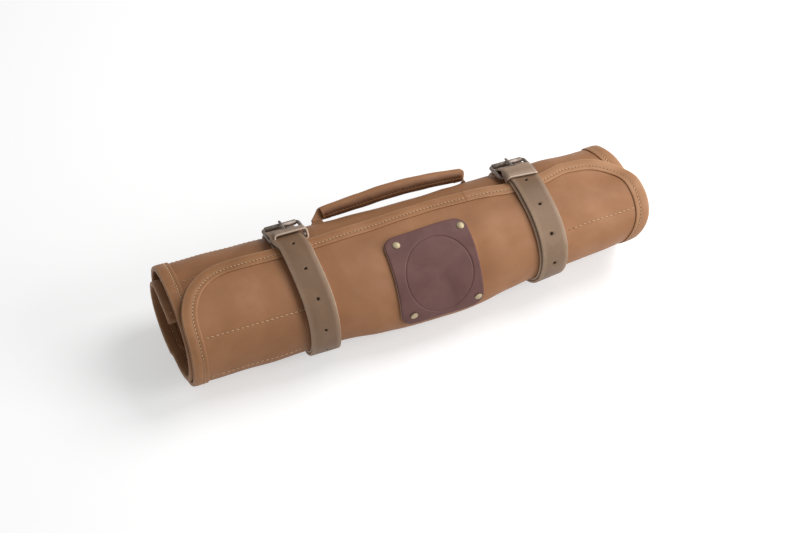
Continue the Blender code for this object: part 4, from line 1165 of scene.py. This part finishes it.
def buildStrap(sideName):
    strap = strapCut[sideName]
    line, atRoller = strapLine()
    run, along = lengthsOf(line), tangents(line)
    out = np.stack([along[:, 1], -along[:, 0]], axis=1)
    width = np.interp((run[-1] - run) / strapCut["tipLength"], strapCut["tipAt"],
                      strapCut["tipWidth"])
    half, halfThick = (strapCut["width"] - strap["narrow"]) / 2, strapCut["thickness"] / 2
    # The tail is painted paler where it bends down over the front: partly rub, partly a painted
    # highlight, much more on the right strap
    rubAndHighlight = strap["rubAndHighlight"] * bump(aroundRoll(line)[1], strapCut["rubAndHighlightAt"], strapCut["rubAndHighlightSpread"])
    rings, wearAndPaintedLightRows = [], []
    for k in range(len(line)):
        layerName = "inner" if run[k] < atRoller else "tail"
        ring, wearAndPaintedLight = strapRing(half * width[k], halfThick)
        spots = line[k] + out[k] * ring[:, 1:2]
        x = (acrossStrap(sideName, spots[:, 1]) + ring[:, 0] - strap["narrow"] / 2
             + strapDrift(sideName, layerName, spots))
        rings.append(settle(np.column_stack([x, spots]), ends=False))
        wearAndPaintedLightRows.append(wearAndPaintedLight + (rubAndHighlight[k] if layerName == "tail" else 0.0))
    slotAround = strapSlots(strapRing(half, halfThick)[0])
    piece = skin("strap_band_" + sideName, rings, [strapLeather, strapEdge],
                 slotAround=slotAround, wearAndPaintedLight=np.array(wearAndPaintedLightRows))
    applyCut(piece, strapCutter(sideName, line, atRoller))
    place(piece, "roll", "strap_leather", "strap_" + sideName)


# Keeper bands

keeperLook = {
    "footWidth": 0.0045, "lean": 0.0085, "thickness": 0.0018, "sideRoom": 0.0009,
    "cornerSteps": 7, "topCorner": 0.0026, "lowCorner": 0.0011, "edge": 0.0004,
    "slots": [1, 1, 1, 0, 0, 1, 1, 1, 0, 0],
    "wearAndPaintedLight": (0.3, 0.4, 0.4, 0.25, 0.1, 0.5, 0.6, 0.6, 0.3, 0.1),
    "left": {"width": 0.0100, "flare": 0.0026, "shift": 0.0004, "skew": 0.0},
    "right": {"width": 0.0200, "flare": 0.0006, "shift": -0.0004, "skew": 0.0020},
}


def buildKeeper(sideName):
    look, narrow = keeperLook[sideName], strapCut[sideName]["narrow"]
    rear = overLower(heelU, barHeight + chapeRadius)
    front = overFlap(-(bindingProud + gap), bindingProud + strapSeat)
    along = unit(front - rear)
    outward = np.array((along[1], -along[0]))
    start = hookRadius + buckle["prong"] + 2 * gap
    low = -(strapCut["thickness"] / 2 + gap)
    high = strapStep - low
    half = (strapCut["width"] - narrow) / 2 + keeperLook["sideRoom"]
    middle = strapCut[sideName]["x"] + look["shift"] - narrow / 2
    thick, e = keeperLook["thickness"], keeperLook["edge"]
    path = []
    for sx, sy, begin in quarters:
        r = keeperLook["topCorner" if sy > 0 else "lowCorner"]
        cy = high - r if sy > 0 else low + r
        for dx, dy in quarterArc(begin, keeperLook["cornerSteps"]):
            path.append((sx * (half - r), cy, dx, dy, r))
    rings = []
    for cx, cy, dx, dy, r in path:
        share = float(smoothShare((cy + dy * r - low) / (high - low)))
        near = start - keeperLook["lean"] * share
        far = near + keeperLook["footWidth"] + share * (
            look["width"] - keeperLook["footWidth"] + look["skew"] * cx / half)
        centre, outer = (near + far) / 2, r + thick
        ring = []
        # The band lifts along its front edge
        for reach, ahead in ((r, near + e), (r + e, near), (outer - e, near), (outer, near + e),
                             (outer, centre), (outer, far - e), (outer - e, far),
                             (r + e, far), (r, far - e), (r, centre)):
            rise = look["flare"] * share * ((ahead - near) / (far - near)) ** 2
            spot = rear + along * ahead + outward * (cy + dy * reach + rise)
            ring.append((middle + cx + dx * reach, *spot))
        rings.append(ring)
    piece = skin("keeper_band_" + sideName, rings, [keeperLeather, strapEdge], closed=True,
                 slotAround=keeperLook["slots"], wearAndPaintedLight=np.array(keeperLook["wearAndPaintedLight"]))
    place(piece, "roll", "strap_leather", "keeper_" + sideName)


# Buckles

def roundedLoop(half, length, radius, steps):
    # Places round the frame, from its heel bar out to the roller's, and the ways out there
    points = []
    for sx, sy, start in quarters:
        cx, cy = sx * (half - radius), length / 2 + sy * (length / 2 - radius)
        for dx, dy in quarterArc(start, steps):
            points.append((cx + radius * dx, cy + radius * dy, dx, dy))
    return points


def buildBuckle(sideName):
    x = strapCut[sideName]["x"]
    heel, roller = overLower(heelU, barHeight), overLower(rollerU, rollerHeight)
    length = float(np.linalg.norm(roller - heel))
    away = unit(roller - heel)
    up = np.array((0.0, -away[1], away[0]))
    rings = []
    for a, b, da, db in roundedLoop(buckleHalf, length, buckle["bend"], buckle["bendSteps"]):
        rings.append(roundOf((x + a, *(heel + away * b)), buckle["wireLook"], (da, *(db * away)),
                             up, buckle["wireFacets"], buckle["wireFlat"]))
    piece = skin("buckle_wire_" + sideName, rings, [bronze], closed=True, sharp=60)
    place(piece, "buckle_" + sideName, "dark_bronze", "buckle_frame_" + sideName)

    # The roller is sheet metal rolled into a tube, with its slit underneath
    half = buckleHalf - buckle["bend"] + buckle["rollerPast"]
    bore, radius, e = buckle["wire"] + gap, buckle["roller"], buckle["rollerRound"]
    rings = []
    for a in np.linspace(buckle["rollerSlit"], turn - buckle["rollerSlit"],
                         buckle["rollerSteps"]) - buckle["slitTurned"]:
        spoke = np.array((math.cos(a), math.sin(a)))
        rings.append([(x + out, *(roller + spoke * reach))
                      for reach, out in ((bore, -half), (radius - e, -half), (radius, e - half),
                                         (radius, half - e), (radius - e, half), (bore, half))])
    piece = skin("buckle_sleeve_" + sideName, rings, [bronze], sharp=45)
    place(piece, "roller_" + sideName, "dark_bronze", "buckle_roller_" + sideName)

    path = resample(prongPath()[0], buckle["tongueStep"])
    line = np.column_stack([np.full(len(path), x), path])
    radii = buckle["tongueHalf"] * np.interp(lengthsOf(line), buckle["tongueAt"],
                                             buckle["tongueShares"])
    piece = tube("buckle_tongue_" + sideName, line, np.array((1.0, 0, 0)), radii, [bronze],
                 facets=buckle["tongueFacets"], flat=buckle["tongueFlat"])
    place(piece, "prong_" + sideName, "dark_bronze", "buckle_prong_" + sideName)


for sideName in sides:
    buildStrap(sideName)
    buildKeeper(sideName)
    buildBuckle(sideName)
print("straps and buckles")


# Handle

handleU = float(lengthAt(handleCut["angle"]))
handleFoot = overFlap(handleU, 0.0)
handleOut = normalAt(handleU)
handleSide = np.array((-handleOut[1], handleOut[0]))
pivotHeight = gap + handleCut["tabThickness"] + gap + handleCut["neckThickness"] / 2


def handleHeight(x):
    # An arch, a little flattened towards its left end
    sag = handleCut["sag"] * bump(x, handleCut["sagX"], handleCut["sagSpread"])
    return handleCut["midHeight"] - handleCut["rise"] * (2 * x / handleCut["length"]) ** 2 - sag


def handlePoint(x, height, aside=0.0):
    x, height, aside = np.broadcast_arrays(x, height, aside)
    spot = handleFoot + handleOut * height[..., None] + handleSide * aside[..., None]
    return np.concatenate([(handleCut["x"] + x)[..., None], spot], axis=-1)


def squareToArch(x, out):
    # (x, height) of what stands out from the arch's middle line by so much
    slope = -8 * handleCut["rise"] * x / handleCut["length"] ** 2
    tilt = 1 / np.sqrt(1 + slope ** 2)
    return x - slope * tilt * out, handleHeight(x) + tilt * out


def handleRing(x, profile):
    return handlePoint(*squareToArch(x, profile[:, 1]), profile[:, 0])


# Painted shade on the wrap: darker by height below its top, darker in the recess over the seam,
# less dark on the lit lip and at the ends
gripLook = {
    "steps": 60, "around": 48, "seamAngle": math.radians(-38), "lip": 0.0009,
    "ledge": math.radians(1.5), "recess": math.radians(38), "wave": 0.00012, "waveTurns": 3,
    "waveRate": 210, "paintedShade": 0.80, "shadeTop": 0.80, "shadeFade": 1.25,
    "recessShade": math.radians(20), "lipShadeShare": 0.35, "endShadeShare": 0.25, "seamEnd": 0.004,
    "seamPoints": 80,
}


def gripProfile(x, inset=0.0):
    # The wrap's edge makes a lip along the lower front, and lies over the side above it
    angles = gripLook["seamAngle"] - turn * np.arange(gripLook["around"]) / gripLook["around"]
    angles[-1] = gripLook["seamAngle"] - turn + gripLook["ledge"]
    past = np.mod(angles - gripLook["seamAngle"] - 1e-6, turn)
    thin = (2 * x / handleCut["length"]) ** 2
    radius = (handleCut["radius"] * (1 - thin) + handleCut["endRadius"] * thin - inset
              - gripLook["lip"] * smoothShare(1 - past / gripLook["recess"]))
    radius = radius + gripLook["wave"] * (inset == 0) * np.sin(
        angles * gripLook["waveTurns"] + x * gripLook["waveRate"])
    return np.stack([radius * np.cos(angles), radius * np.sin(angles)], axis=1)


def buildGrip():
    half = handleCut["length"] / 2
    places = np.linspace(-half, half, gripLook["steps"] + 1)
    outside = [handleRing(x, gripProfile(x)) for x in places]
    inside = [handleRing(x, gripProfile(x, handleCut["leather"])) for x in places[::-1]]
    # Painted shade: all but the top is darkened, most on the lower half and in the recess over the
    # seam, less on the lit lip and at the ends
    profile = gripProfile(0.0)
    height = profile[:, 1] / handleCut["radius"]
    past = np.mod(np.arctan2(profile[:, 1], profile[:, 0]) - gripLook["seamAngle"] - 1e-3, turn)
    dark = gripLook["paintedShade"] * smoothShare((gripLook["shadeTop"] - height)
                                             / gripLook["shadeFade"])
    dark = np.maximum(dark, smoothShare(1 - past / gripLook["recessShade"]))
    dark[0] *= gripLook["lipShadeShare"]
    wearAndPaintedLight = np.repeat(dark[None], 2 * len(places), axis=0)
    for row in (0, len(places) - 1, len(places), 2 * len(places) - 1):
        wearAndPaintedLight[row] *= gripLook["endShadeShare"]
    piece = skin("handle_wrap", outside + inside, [shadedGripLeather], closed=True, wearAndPaintedLight=wearAndPaintedLight)
    place(piece, "handle", "tan_leather", "handle_grip")
    reach = half - gripLook["seamEnd"]
    places = np.linspace(-reach, reach, gripLook["seamPoints"])
    line = np.array([handleRing(x, gripProfile(x)[-1:])[0] for x in places])
    normals = unit(line - handlePoint(places, handleHeight(places)))
    row = stitchRow("handle_seam_stitches", line, normals, brownThread, holes=False)
    place(row, "handle", "tan_leather")


cordLook = {"strands": 3, "points": 90, "twist": 190, "lay": 0.50, "thick": 0.46, "facets": 10}


def buildCord():
    half = handleCut["length"] / 2 - handleCut["neckInsert"] - gap
    radius = handleCut["endRadius"] - handleCut["leather"] - gap - gripLook["lip"]
    places = np.linspace(-half, half, cordLook["points"])
    for strand in range(cordLook["strands"]):
        a = places * cordLook["twist"] + strand * turn / cordLook["strands"]
        profile = np.stack([np.cos(a), np.sin(a)], axis=1) * radius * cordLook["lay"]
        line = np.array([handleRing(x, p[None])[0] for x, p in zip(places, profile)])
        piece = tube("cord_strand_%d" % (strand + 1), line, np.array((0.0, *handleSide)),
                     radius * cordLook["thick"], [cordFibre], facets=cordLook["facets"])
        place(piece, "handle", "core_fibre")
        if strand == 0:
            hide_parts("handle_core")


def neckRungs(look):
    # Pairs of (x, height), upper and lower, from inside the grip down to the foot
    end, half = handleCut["length"] / 2, handleCut["insertHeight"] / 2
    rungs = [(squareToArch(x, half), squareToArch(x, -half))
             for x in (end - handleCut["neckInsert"], end)]
    root, low = end + handleCut["endRoom"], handleHeight(end) - half
    top = handleHeight(end) + half + handleCut["crest"]
    steps = look["edge"] + ((1.0, 0.0),)
    for share, (outShare, heightShare) in zip(np.linspace(0, 1, len(steps)), steps):
        rungs.append(((root + look["reach"] * outShare,
                       pivotHeight + (top - pivotHeight) * heightShare),
                      (root + look["root"] * share, low + (pivotHeight - low) * share)))
    return np.array(rungs)


neckLook = {
    "steps": 6, "round": 0.0007, "foot": 0.0020, "across": 5, "lowest": 0.003,
    "bendFrom": 0.7, "bendTo": 1.25, "ridgeRub": 0.5, "roundRub": 0.4, "faceRub": 0.15,
    "lowerRub": 0.3,
}


def buildNeck(sideName):
    side, count = sides[sideName], neckLook["across"]
    rungs = neckRungs(handleCut[sideName])
    rungs = smoothCurve(rungs, [neckLook["steps"]] * (len(rungs) - 1))
    # The foot is turned under, a little below the swinging axis
    foot = rungs[-1] - np.array((0.0, neckLook["foot"]))
    rungs = np.concatenate([rungs, foot[None]])
    half, e = handleCut["neckThickness"] / 2, neckLook["round"]
    rings = []
    for upper, lower in rungs:
        across = lower - upper
        inward = e / max(np.linalg.norm(across), neckLook["lowest"])
        flat = np.linspace(inward, 1 - inward, count)
        ring = []
        for share, wide in ([(0.0, 0.0), (0.0, half - e)] + [(t, half) for t in flat]
                            + [(1.0, half - e), (1.0, 0.0), (1.0, e - half)]
                            + [(t, -half) for t in flat[::-1]] + [(0.0, e - half)]):
            spot = upper + across * share
            ring.append(handlePoint(side * spot[0], spot[1], wide))
        rings.append(ring)
    face = [neckLook["faceRub"]] * count
    wearAndPaintedLight = np.array([neckLook["ridgeRub"], neckLook["roundRub"]] + face
                    + [neckLook["lowerRub"]] * 3 + face + [neckLook["roundRub"]])
    piece = skin("handle_end_" + sideName, rings, [tanLeather], wearAndPaintedLight=wearAndPaintedLight[None])
    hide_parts("handle_neck_" + sideName)
    middle = side * float(rungs[-1, :, 0].mean())
    tuple(handlePoint(middle, pivotHeight * neckLook["bendFrom"]))
    tuple(handlePoint(middle, pivotHeight * neckLook["bendTo"]))
    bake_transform(piece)


def roundedOutline(halfA, halfB, radius, count):
    # Points (a, b) round a rectangle with rounded corners, evenly by angle
    angles = turn * np.arange(count) / count
    a, b = np.cos(angles), np.sin(angles)
    reach = np.minimum(halfA / np.maximum(np.abs(a), 1e-9), halfB / np.maximum(np.abs(b), 1e-9))
    pa, pb = a * reach, b * reach
    ca, cb = halfA - radius, halfB - radius
    inCorner = (np.abs(pa) > ca) & (np.abs(pb) > cb)
    for k in np.where(inCorner)[0]:
        sa, sb = math.copysign(ca, a[k]), math.copysign(cb, b[k])
        dot = a[k] * sa + b[k] * sb
        distance = dot + math.sqrt(max(dot ** 2 - (sa ** 2 + sb ** 2 - radius ** 2), 0.0))
        pa[k], pb[k] = a[k] * distance, b[k] * distance
    return np.stack([pa, pb], axis=1)


def tabEdges(look, u):
    # The pad's inner and outer edge along the roll at one place round it
    start = handleU - handleCut["tabBack"]
    first, last = (handleU - d for d in handleCut["shoulder"])
    narrow = cornerCut(u - start, handleCut["tabCorner"])
    share = smoothShare((u - first) / (last - first))
    root = handleCut["length"] / 2 + handleCut["endRoom"]
    inner = (root - handleCut["tabInward"] + narrow) * (1 - share) + root * share
    return inner, root + look["reach"] - narrow


tabLook = {"edge": 0.0006, "cornerSteps": 7, "step": 0.0011, "faceSteps": 6,
           "stitchIn": 0.0025, "stitchSunk": 0.0001, "edgeRub": 0.5, "roundRub": 0.3,
           "underRub": 0.2}


def buildTab(sideName):
    look, side, faces = handleCut[sideName], sides[sideName], tabLook["faceSteps"]
    shift = handleCut["x"] - lean(handleU)
    bottom = halfSheet + gap
    top, e = bottom + handleCut["tabThickness"], tabLook["edge"]
    start, end = handleU - handleCut["tabBack"], handleU + handleCut["tabFront"]
    curve = cornerRows(handleCut["tabCorner"], tabLook["cornerSteps"])
    rows = sheetStations(start, end, tabLook["step"], list(start + curve))
    rings, wearAndPaintedLightRows = [], []
    for k, u in enumerate(rows):
        inner, outer = tabEdges(look, u)
        atEnd = k in (0, len(rows) - 1)
        x = [inner, inner + e, *np.linspace(inner + 3 * e, outer - 3 * e, faces), outer - e, outer]
        face = top - atEnd * e
        w = [face - e] + [face] * (faces + 2) + [face - e] + [bottom] * len(x)
        places = shift + side * np.array(x + x[::-1])
        rings.append(sheetPlace(u, places, np.array(w) + billow(u, places)))
        rubs = [tabLook["edgeRub"], tabLook["roundRub"]]
        wearAndPaintedLightRows.append(rubs + [atEnd * tabLook["roundRub"]] * faces + rubs[::-1]
                        + [tabLook["underRub"]] * len(x))
    piece = skin("handle_pad_" + sideName, rings, [tanLeather], wearAndPaintedLight=np.array(wearAndPaintedLightRows))
    place(piece, "roll", "tan_leather", "handle_tab_" + sideName)
    inset = tabLook["stitchIn"]
    rim = [u for u in rows if start + inset < u < handleU - handleCut["shoulder"][0] - inset]
    edges = np.array([tabEdges(look, u) for u in rim])
    x = np.concatenate([edges[::-1, 1] - inset, edges[:, 0] + inset, edges[-1:, 1] - inset])
    u = np.concatenate([rim[::-1], rim, rim[-1:]])
    places = shift + side * x
    line = sheetPlace(u, places, top - tabLook["stitchSunk"] + billow(u, places))
    row = stitchRow("handle_pad_stitches_" + sideName, line, sheetNormal(u), holes=False)
    place(row, "roll", "tan_leather")


buildGrip()
buildCord()
for sideName in sides:
    buildNeck(sideName)
    buildTab(sideName)
print("handle")


# Badge: bare leather with one pressed ring

def badgeRows(outline, circle, bottom, top):
    # Rings (points, height): under it, up its cut side, over to the ring and in to the middle
    rows = [(outline * share, bottom) for share in badgeCut["underShares"]]
    length = np.linalg.norm(outline, axis=1, keepdims=True)
    rows.append((outline, bottom + badgeCut["footHeight"]))
    for inset, share in badgeCut["edgeRows"]:
        inner = outline * (1 - inset / length)
        rows.append((inner, top - share * badgeCut["edgeRound"]))
    ring, width = badgeCut["ring"], badgeCut["ringWidth"]
    centre = np.array((badgeCut["ringX"], badgeCut["ringU"]))
    last = circle * (ring + width * badgeCut["ringRoom"]) + centre
    for share in np.linspace(0, 1, badgeCut["faceSteps"])[1:]:
        rows.append((inner + (last - inner) * share, top))
    reaches = [*badgeCut["fieldRows"], *(ring + width * d for d in badgeCut["ringRows"])]
    for r in sorted(reaches, reverse=True):
        pressed = badgeCut["ringDepth"] * bump(r, ring, width * badgeCut["ringSharp"])
        field = badgeCut["field"] if r < ring else 0.0
        rows.append((circle * r + centre, top - pressed - field))
    return rows


def buildBadge():
    middle = float(lengthAt(badgeCut["angle"]))
    half, count = badgeCut["size"] / 2, badgeCut["points"]
    bottom = halfSheet + gap
    top = bottom + badgeCut["thickness"]
    outline = roundedOutline(half, half, badgeCut["corner"], count)
    circle = roundedOutline(1.0, 1.0, 1.0, count)
    rings, rivets = [], rivetPlaces()
    for spots, w in badgeRows(outline, circle, bottom, top):
        u, x = middle + spots[:, 1], badgeCut["x"] + spots[:, 0]
        near = np.min([np.hypot(u - ru, x - rx) for ru, rx in rivets], axis=0)
        onTop = w > top - badgeCut["field"]
        sunk = badgeCut["dimple"] * bump(near, 0.0, badgeCut["dimpleReach"]) * onTop
        rings.append(sheetPlace(u, x, w - sunk + billow(u, x)))
    piece = skin("badge_patch", np.array(rings), [badgeLeather, badgeEdge], wearAndPaintedLight=0.0, sharp=50)
    # The cut side below the rounded top edge is raw leather, its colour partly painted light
    first = (len(badgeCut["underShares"]) - 1) * count
    slots = np.zeros(len(piece.data.polygons), np.int32)
    slots[first:first + 3 * count] = 1
    piece.data.polygons.foreach_set("material_index", slots)
    place(piece, "roll", "badge_leather", "badge")


def rivetPlaces():
    middle, reach = float(lengthAt(badgeCut["angle"])) + badgeCut["rivetU"], badgeCut["rivetHalf"]
    return [(middle + down * reach, badgeCut["x"] + badgeCut["rivetX"] + side * reach)
            for down in (-1, 1) for side in (-1, 1)]


rivetLook = {
    "head": 0.0039, "dome": 0.0013, "domeFrom": 0.06, "domeTo": 1.36, "domeSteps": 9,
    "domePower": 1.3, "rim": 0.00035, "rimShare": 0.995, "stem": 0.0014, "cap": 0.0030,
    "capThick": 0.0008, "capRoom": 0.0003, "facets": 32, "sink": 0.0002,
}


def buildRivet(number, u, x):
    look = rivetLook
    face = halfSheet + gap + badgeCut["thickness"] + gap - look["sink"]
    back = -(halfSheet + gap + look["capRoom"])
    profile = [(look["head"] * math.sin(a), face + look["dome"] * math.cos(a) ** look["domePower"])
               for a in np.linspace(look["domeFrom"], look["domeTo"], look["domeSteps"])]
    profile += [(look["head"], face + look["rim"]), (look["head"] * look["rimShare"], face),
                (look["stem"], face), (look["stem"], back), (look["cap"], back),
                (look["cap"], back - look["capThick"])]
    centre, axis = sheetPlace(u, x, 0.0), sheetNormal(np.array(u))
    aside = np.array((1.0, 0, 0))
    rings = [roundOf(centre + axis * w, r, aside, np.cross(axis, aside), look["facets"])
             for r, w in profile]
    piece = skin("rivet_%d" % number, rings, [brass], sharp=40)
    place(piece, "roll", "rivet_brass", "badge_rivet_%d" % number)


buildBadge()
for number, (u, x) in enumerate(rivetPlaces(), 1):
    buildRivet(number, u, x)
print("badge and rivets")


# Floor, light and camera

stageLook = {"floorSize": 6.0, "floorSunk": 0.0002, "floor": 0.66, "floorGlow": 0.46,
             "world": 0.32, "lampAim": 0.04}
lamps = (
    {"name": "overhead", "place": (0.95, 0.20, 1.30), "size": (1.0, 1.0), "power": 16.5},
    {"name": "front fill", "place": (1.10, -0.95, 0.72), "size": (0.9, 0.8), "power": 16.2},
)
shot = {"azimuth": -22.528, "elevation": 45.538, "distance": 1.9, "roll": 0.4105,
        "aim": (0.00148, -0.00004, 0.0407), "lens": 84.19, "sensor": 36.0}


def buildFloor():
    half = stageLook["floorSize"] / 2
    mesh = bpy.data.meshes.new("floor")
    mesh.from_pydata([(-half, -half, 0), (half, -half, 0), (half, half, 0), (-half, half, 0)],
                     [], [(0, 1, 2, 3)])
    floor = linkObject("floor", mesh)
    floor.location.z = -stageLook["floorSunk"]
    material = bpy.data.materials.new("pale floor")
    material.use_nodes = True
    tree = material.node_tree
    tree.nodes.clear()
    shade = addNode(tree, "ShaderNodeBsdfDiffuse", {"Color": (stageLook["floor"],) * 3 + (1.0,)})
    glow = addNode(tree, "ShaderNodeEmission", {"Color": (1, 1, 1, 1),
                                                "Strength": stageLook["floorGlow"]})
    both = addNode(tree, "ShaderNodeAddShader", {0: shade.outputs[0], 1: glow.outputs[0]})
    path = addNode(tree, "ShaderNodeLightPath")
    seen = combined(tree, path.outputs["Is Camera Ray"], path.outputs["Is Glossy Ray"], "MAXIMUM")
    mix = addNode(tree, "ShaderNodeMixShader", {0: seen, 1: shade.outputs[0], 2: both.outputs[0]})
    addNode(tree, "ShaderNodeOutputMaterial", {"Surface": mix.outputs[0]})
    mesh.materials.append(material)


def buildLights():
    for lamp in lamps:
        data = bpy.data.lights.new(lamp["name"], "AREA")
        data.shape = "RECTANGLE"
        data.size, data.size_y = lamp["size"]
        data.energy = lamp["power"]
        spot = np.array(lamp["place"])
        back = unit(spot - np.array((0, 0, stageLook["lampAim"])))
        right = unit(np.cross((0, 0, 1), back))
        light = linkObject(lamp["name"], data)
        light.matrix_world = standing(spot, right, np.cross(back, right), back)
    world = bpy.data.worlds.new("studio")
    bpy.context.scene.world = world
    world.use_nodes = True
    tree = world.node_tree
    path = addNode(tree, "ShaderNodeLightPath")
    shown = combined(tree, path.outputs["Is Camera Ray"], path.outputs["Is Transmission Ray"],
                     "MAXIMUM")
    strength = between(tree, shown, stageLook["world"], 1.0)
    setInputs(tree, tree.nodes["Background"], {"Color": (1, 1, 1, 1), "Strength": strength})


def standing(spot, right, up, back):
    # The matrix of a lamp or camera that looks away from back
    return Matrix([(right[k], up[k], back[k], spot[k]) for k in range(3)] + [(0, 0, 0, 1)])


def buildCamera():
    a, e, roll = (math.radians(shot[k]) for k in ("azimuth", "elevation", "roll"))
    back = np.array((math.sin(a) * math.cos(e), -math.cos(a) * math.cos(e), math.sin(e)))
    right = np.array((math.cos(a), math.sin(a), 0.0))
    up = np.cross(back, right)
    data = bpy.data.cameras.new("camera")
    data.sensor_width = shot["sensor"]
    data.lens = shot["lens"]
    camera = linkObject("camera", data)
    camera.matrix_world = standing(np.array(shot["aim"]) + back * shot["distance"],
                                   math.cos(roll) * right + math.sin(roll) * up,
                                   math.cos(roll) * up - math.sin(roll) * right, back)
    bpy.context.scene.camera = camera


buildFloor()
buildLights()
buildCamera()
bpy.context.scene.view_settings.view_transform = "Standard"
print("stage ready")
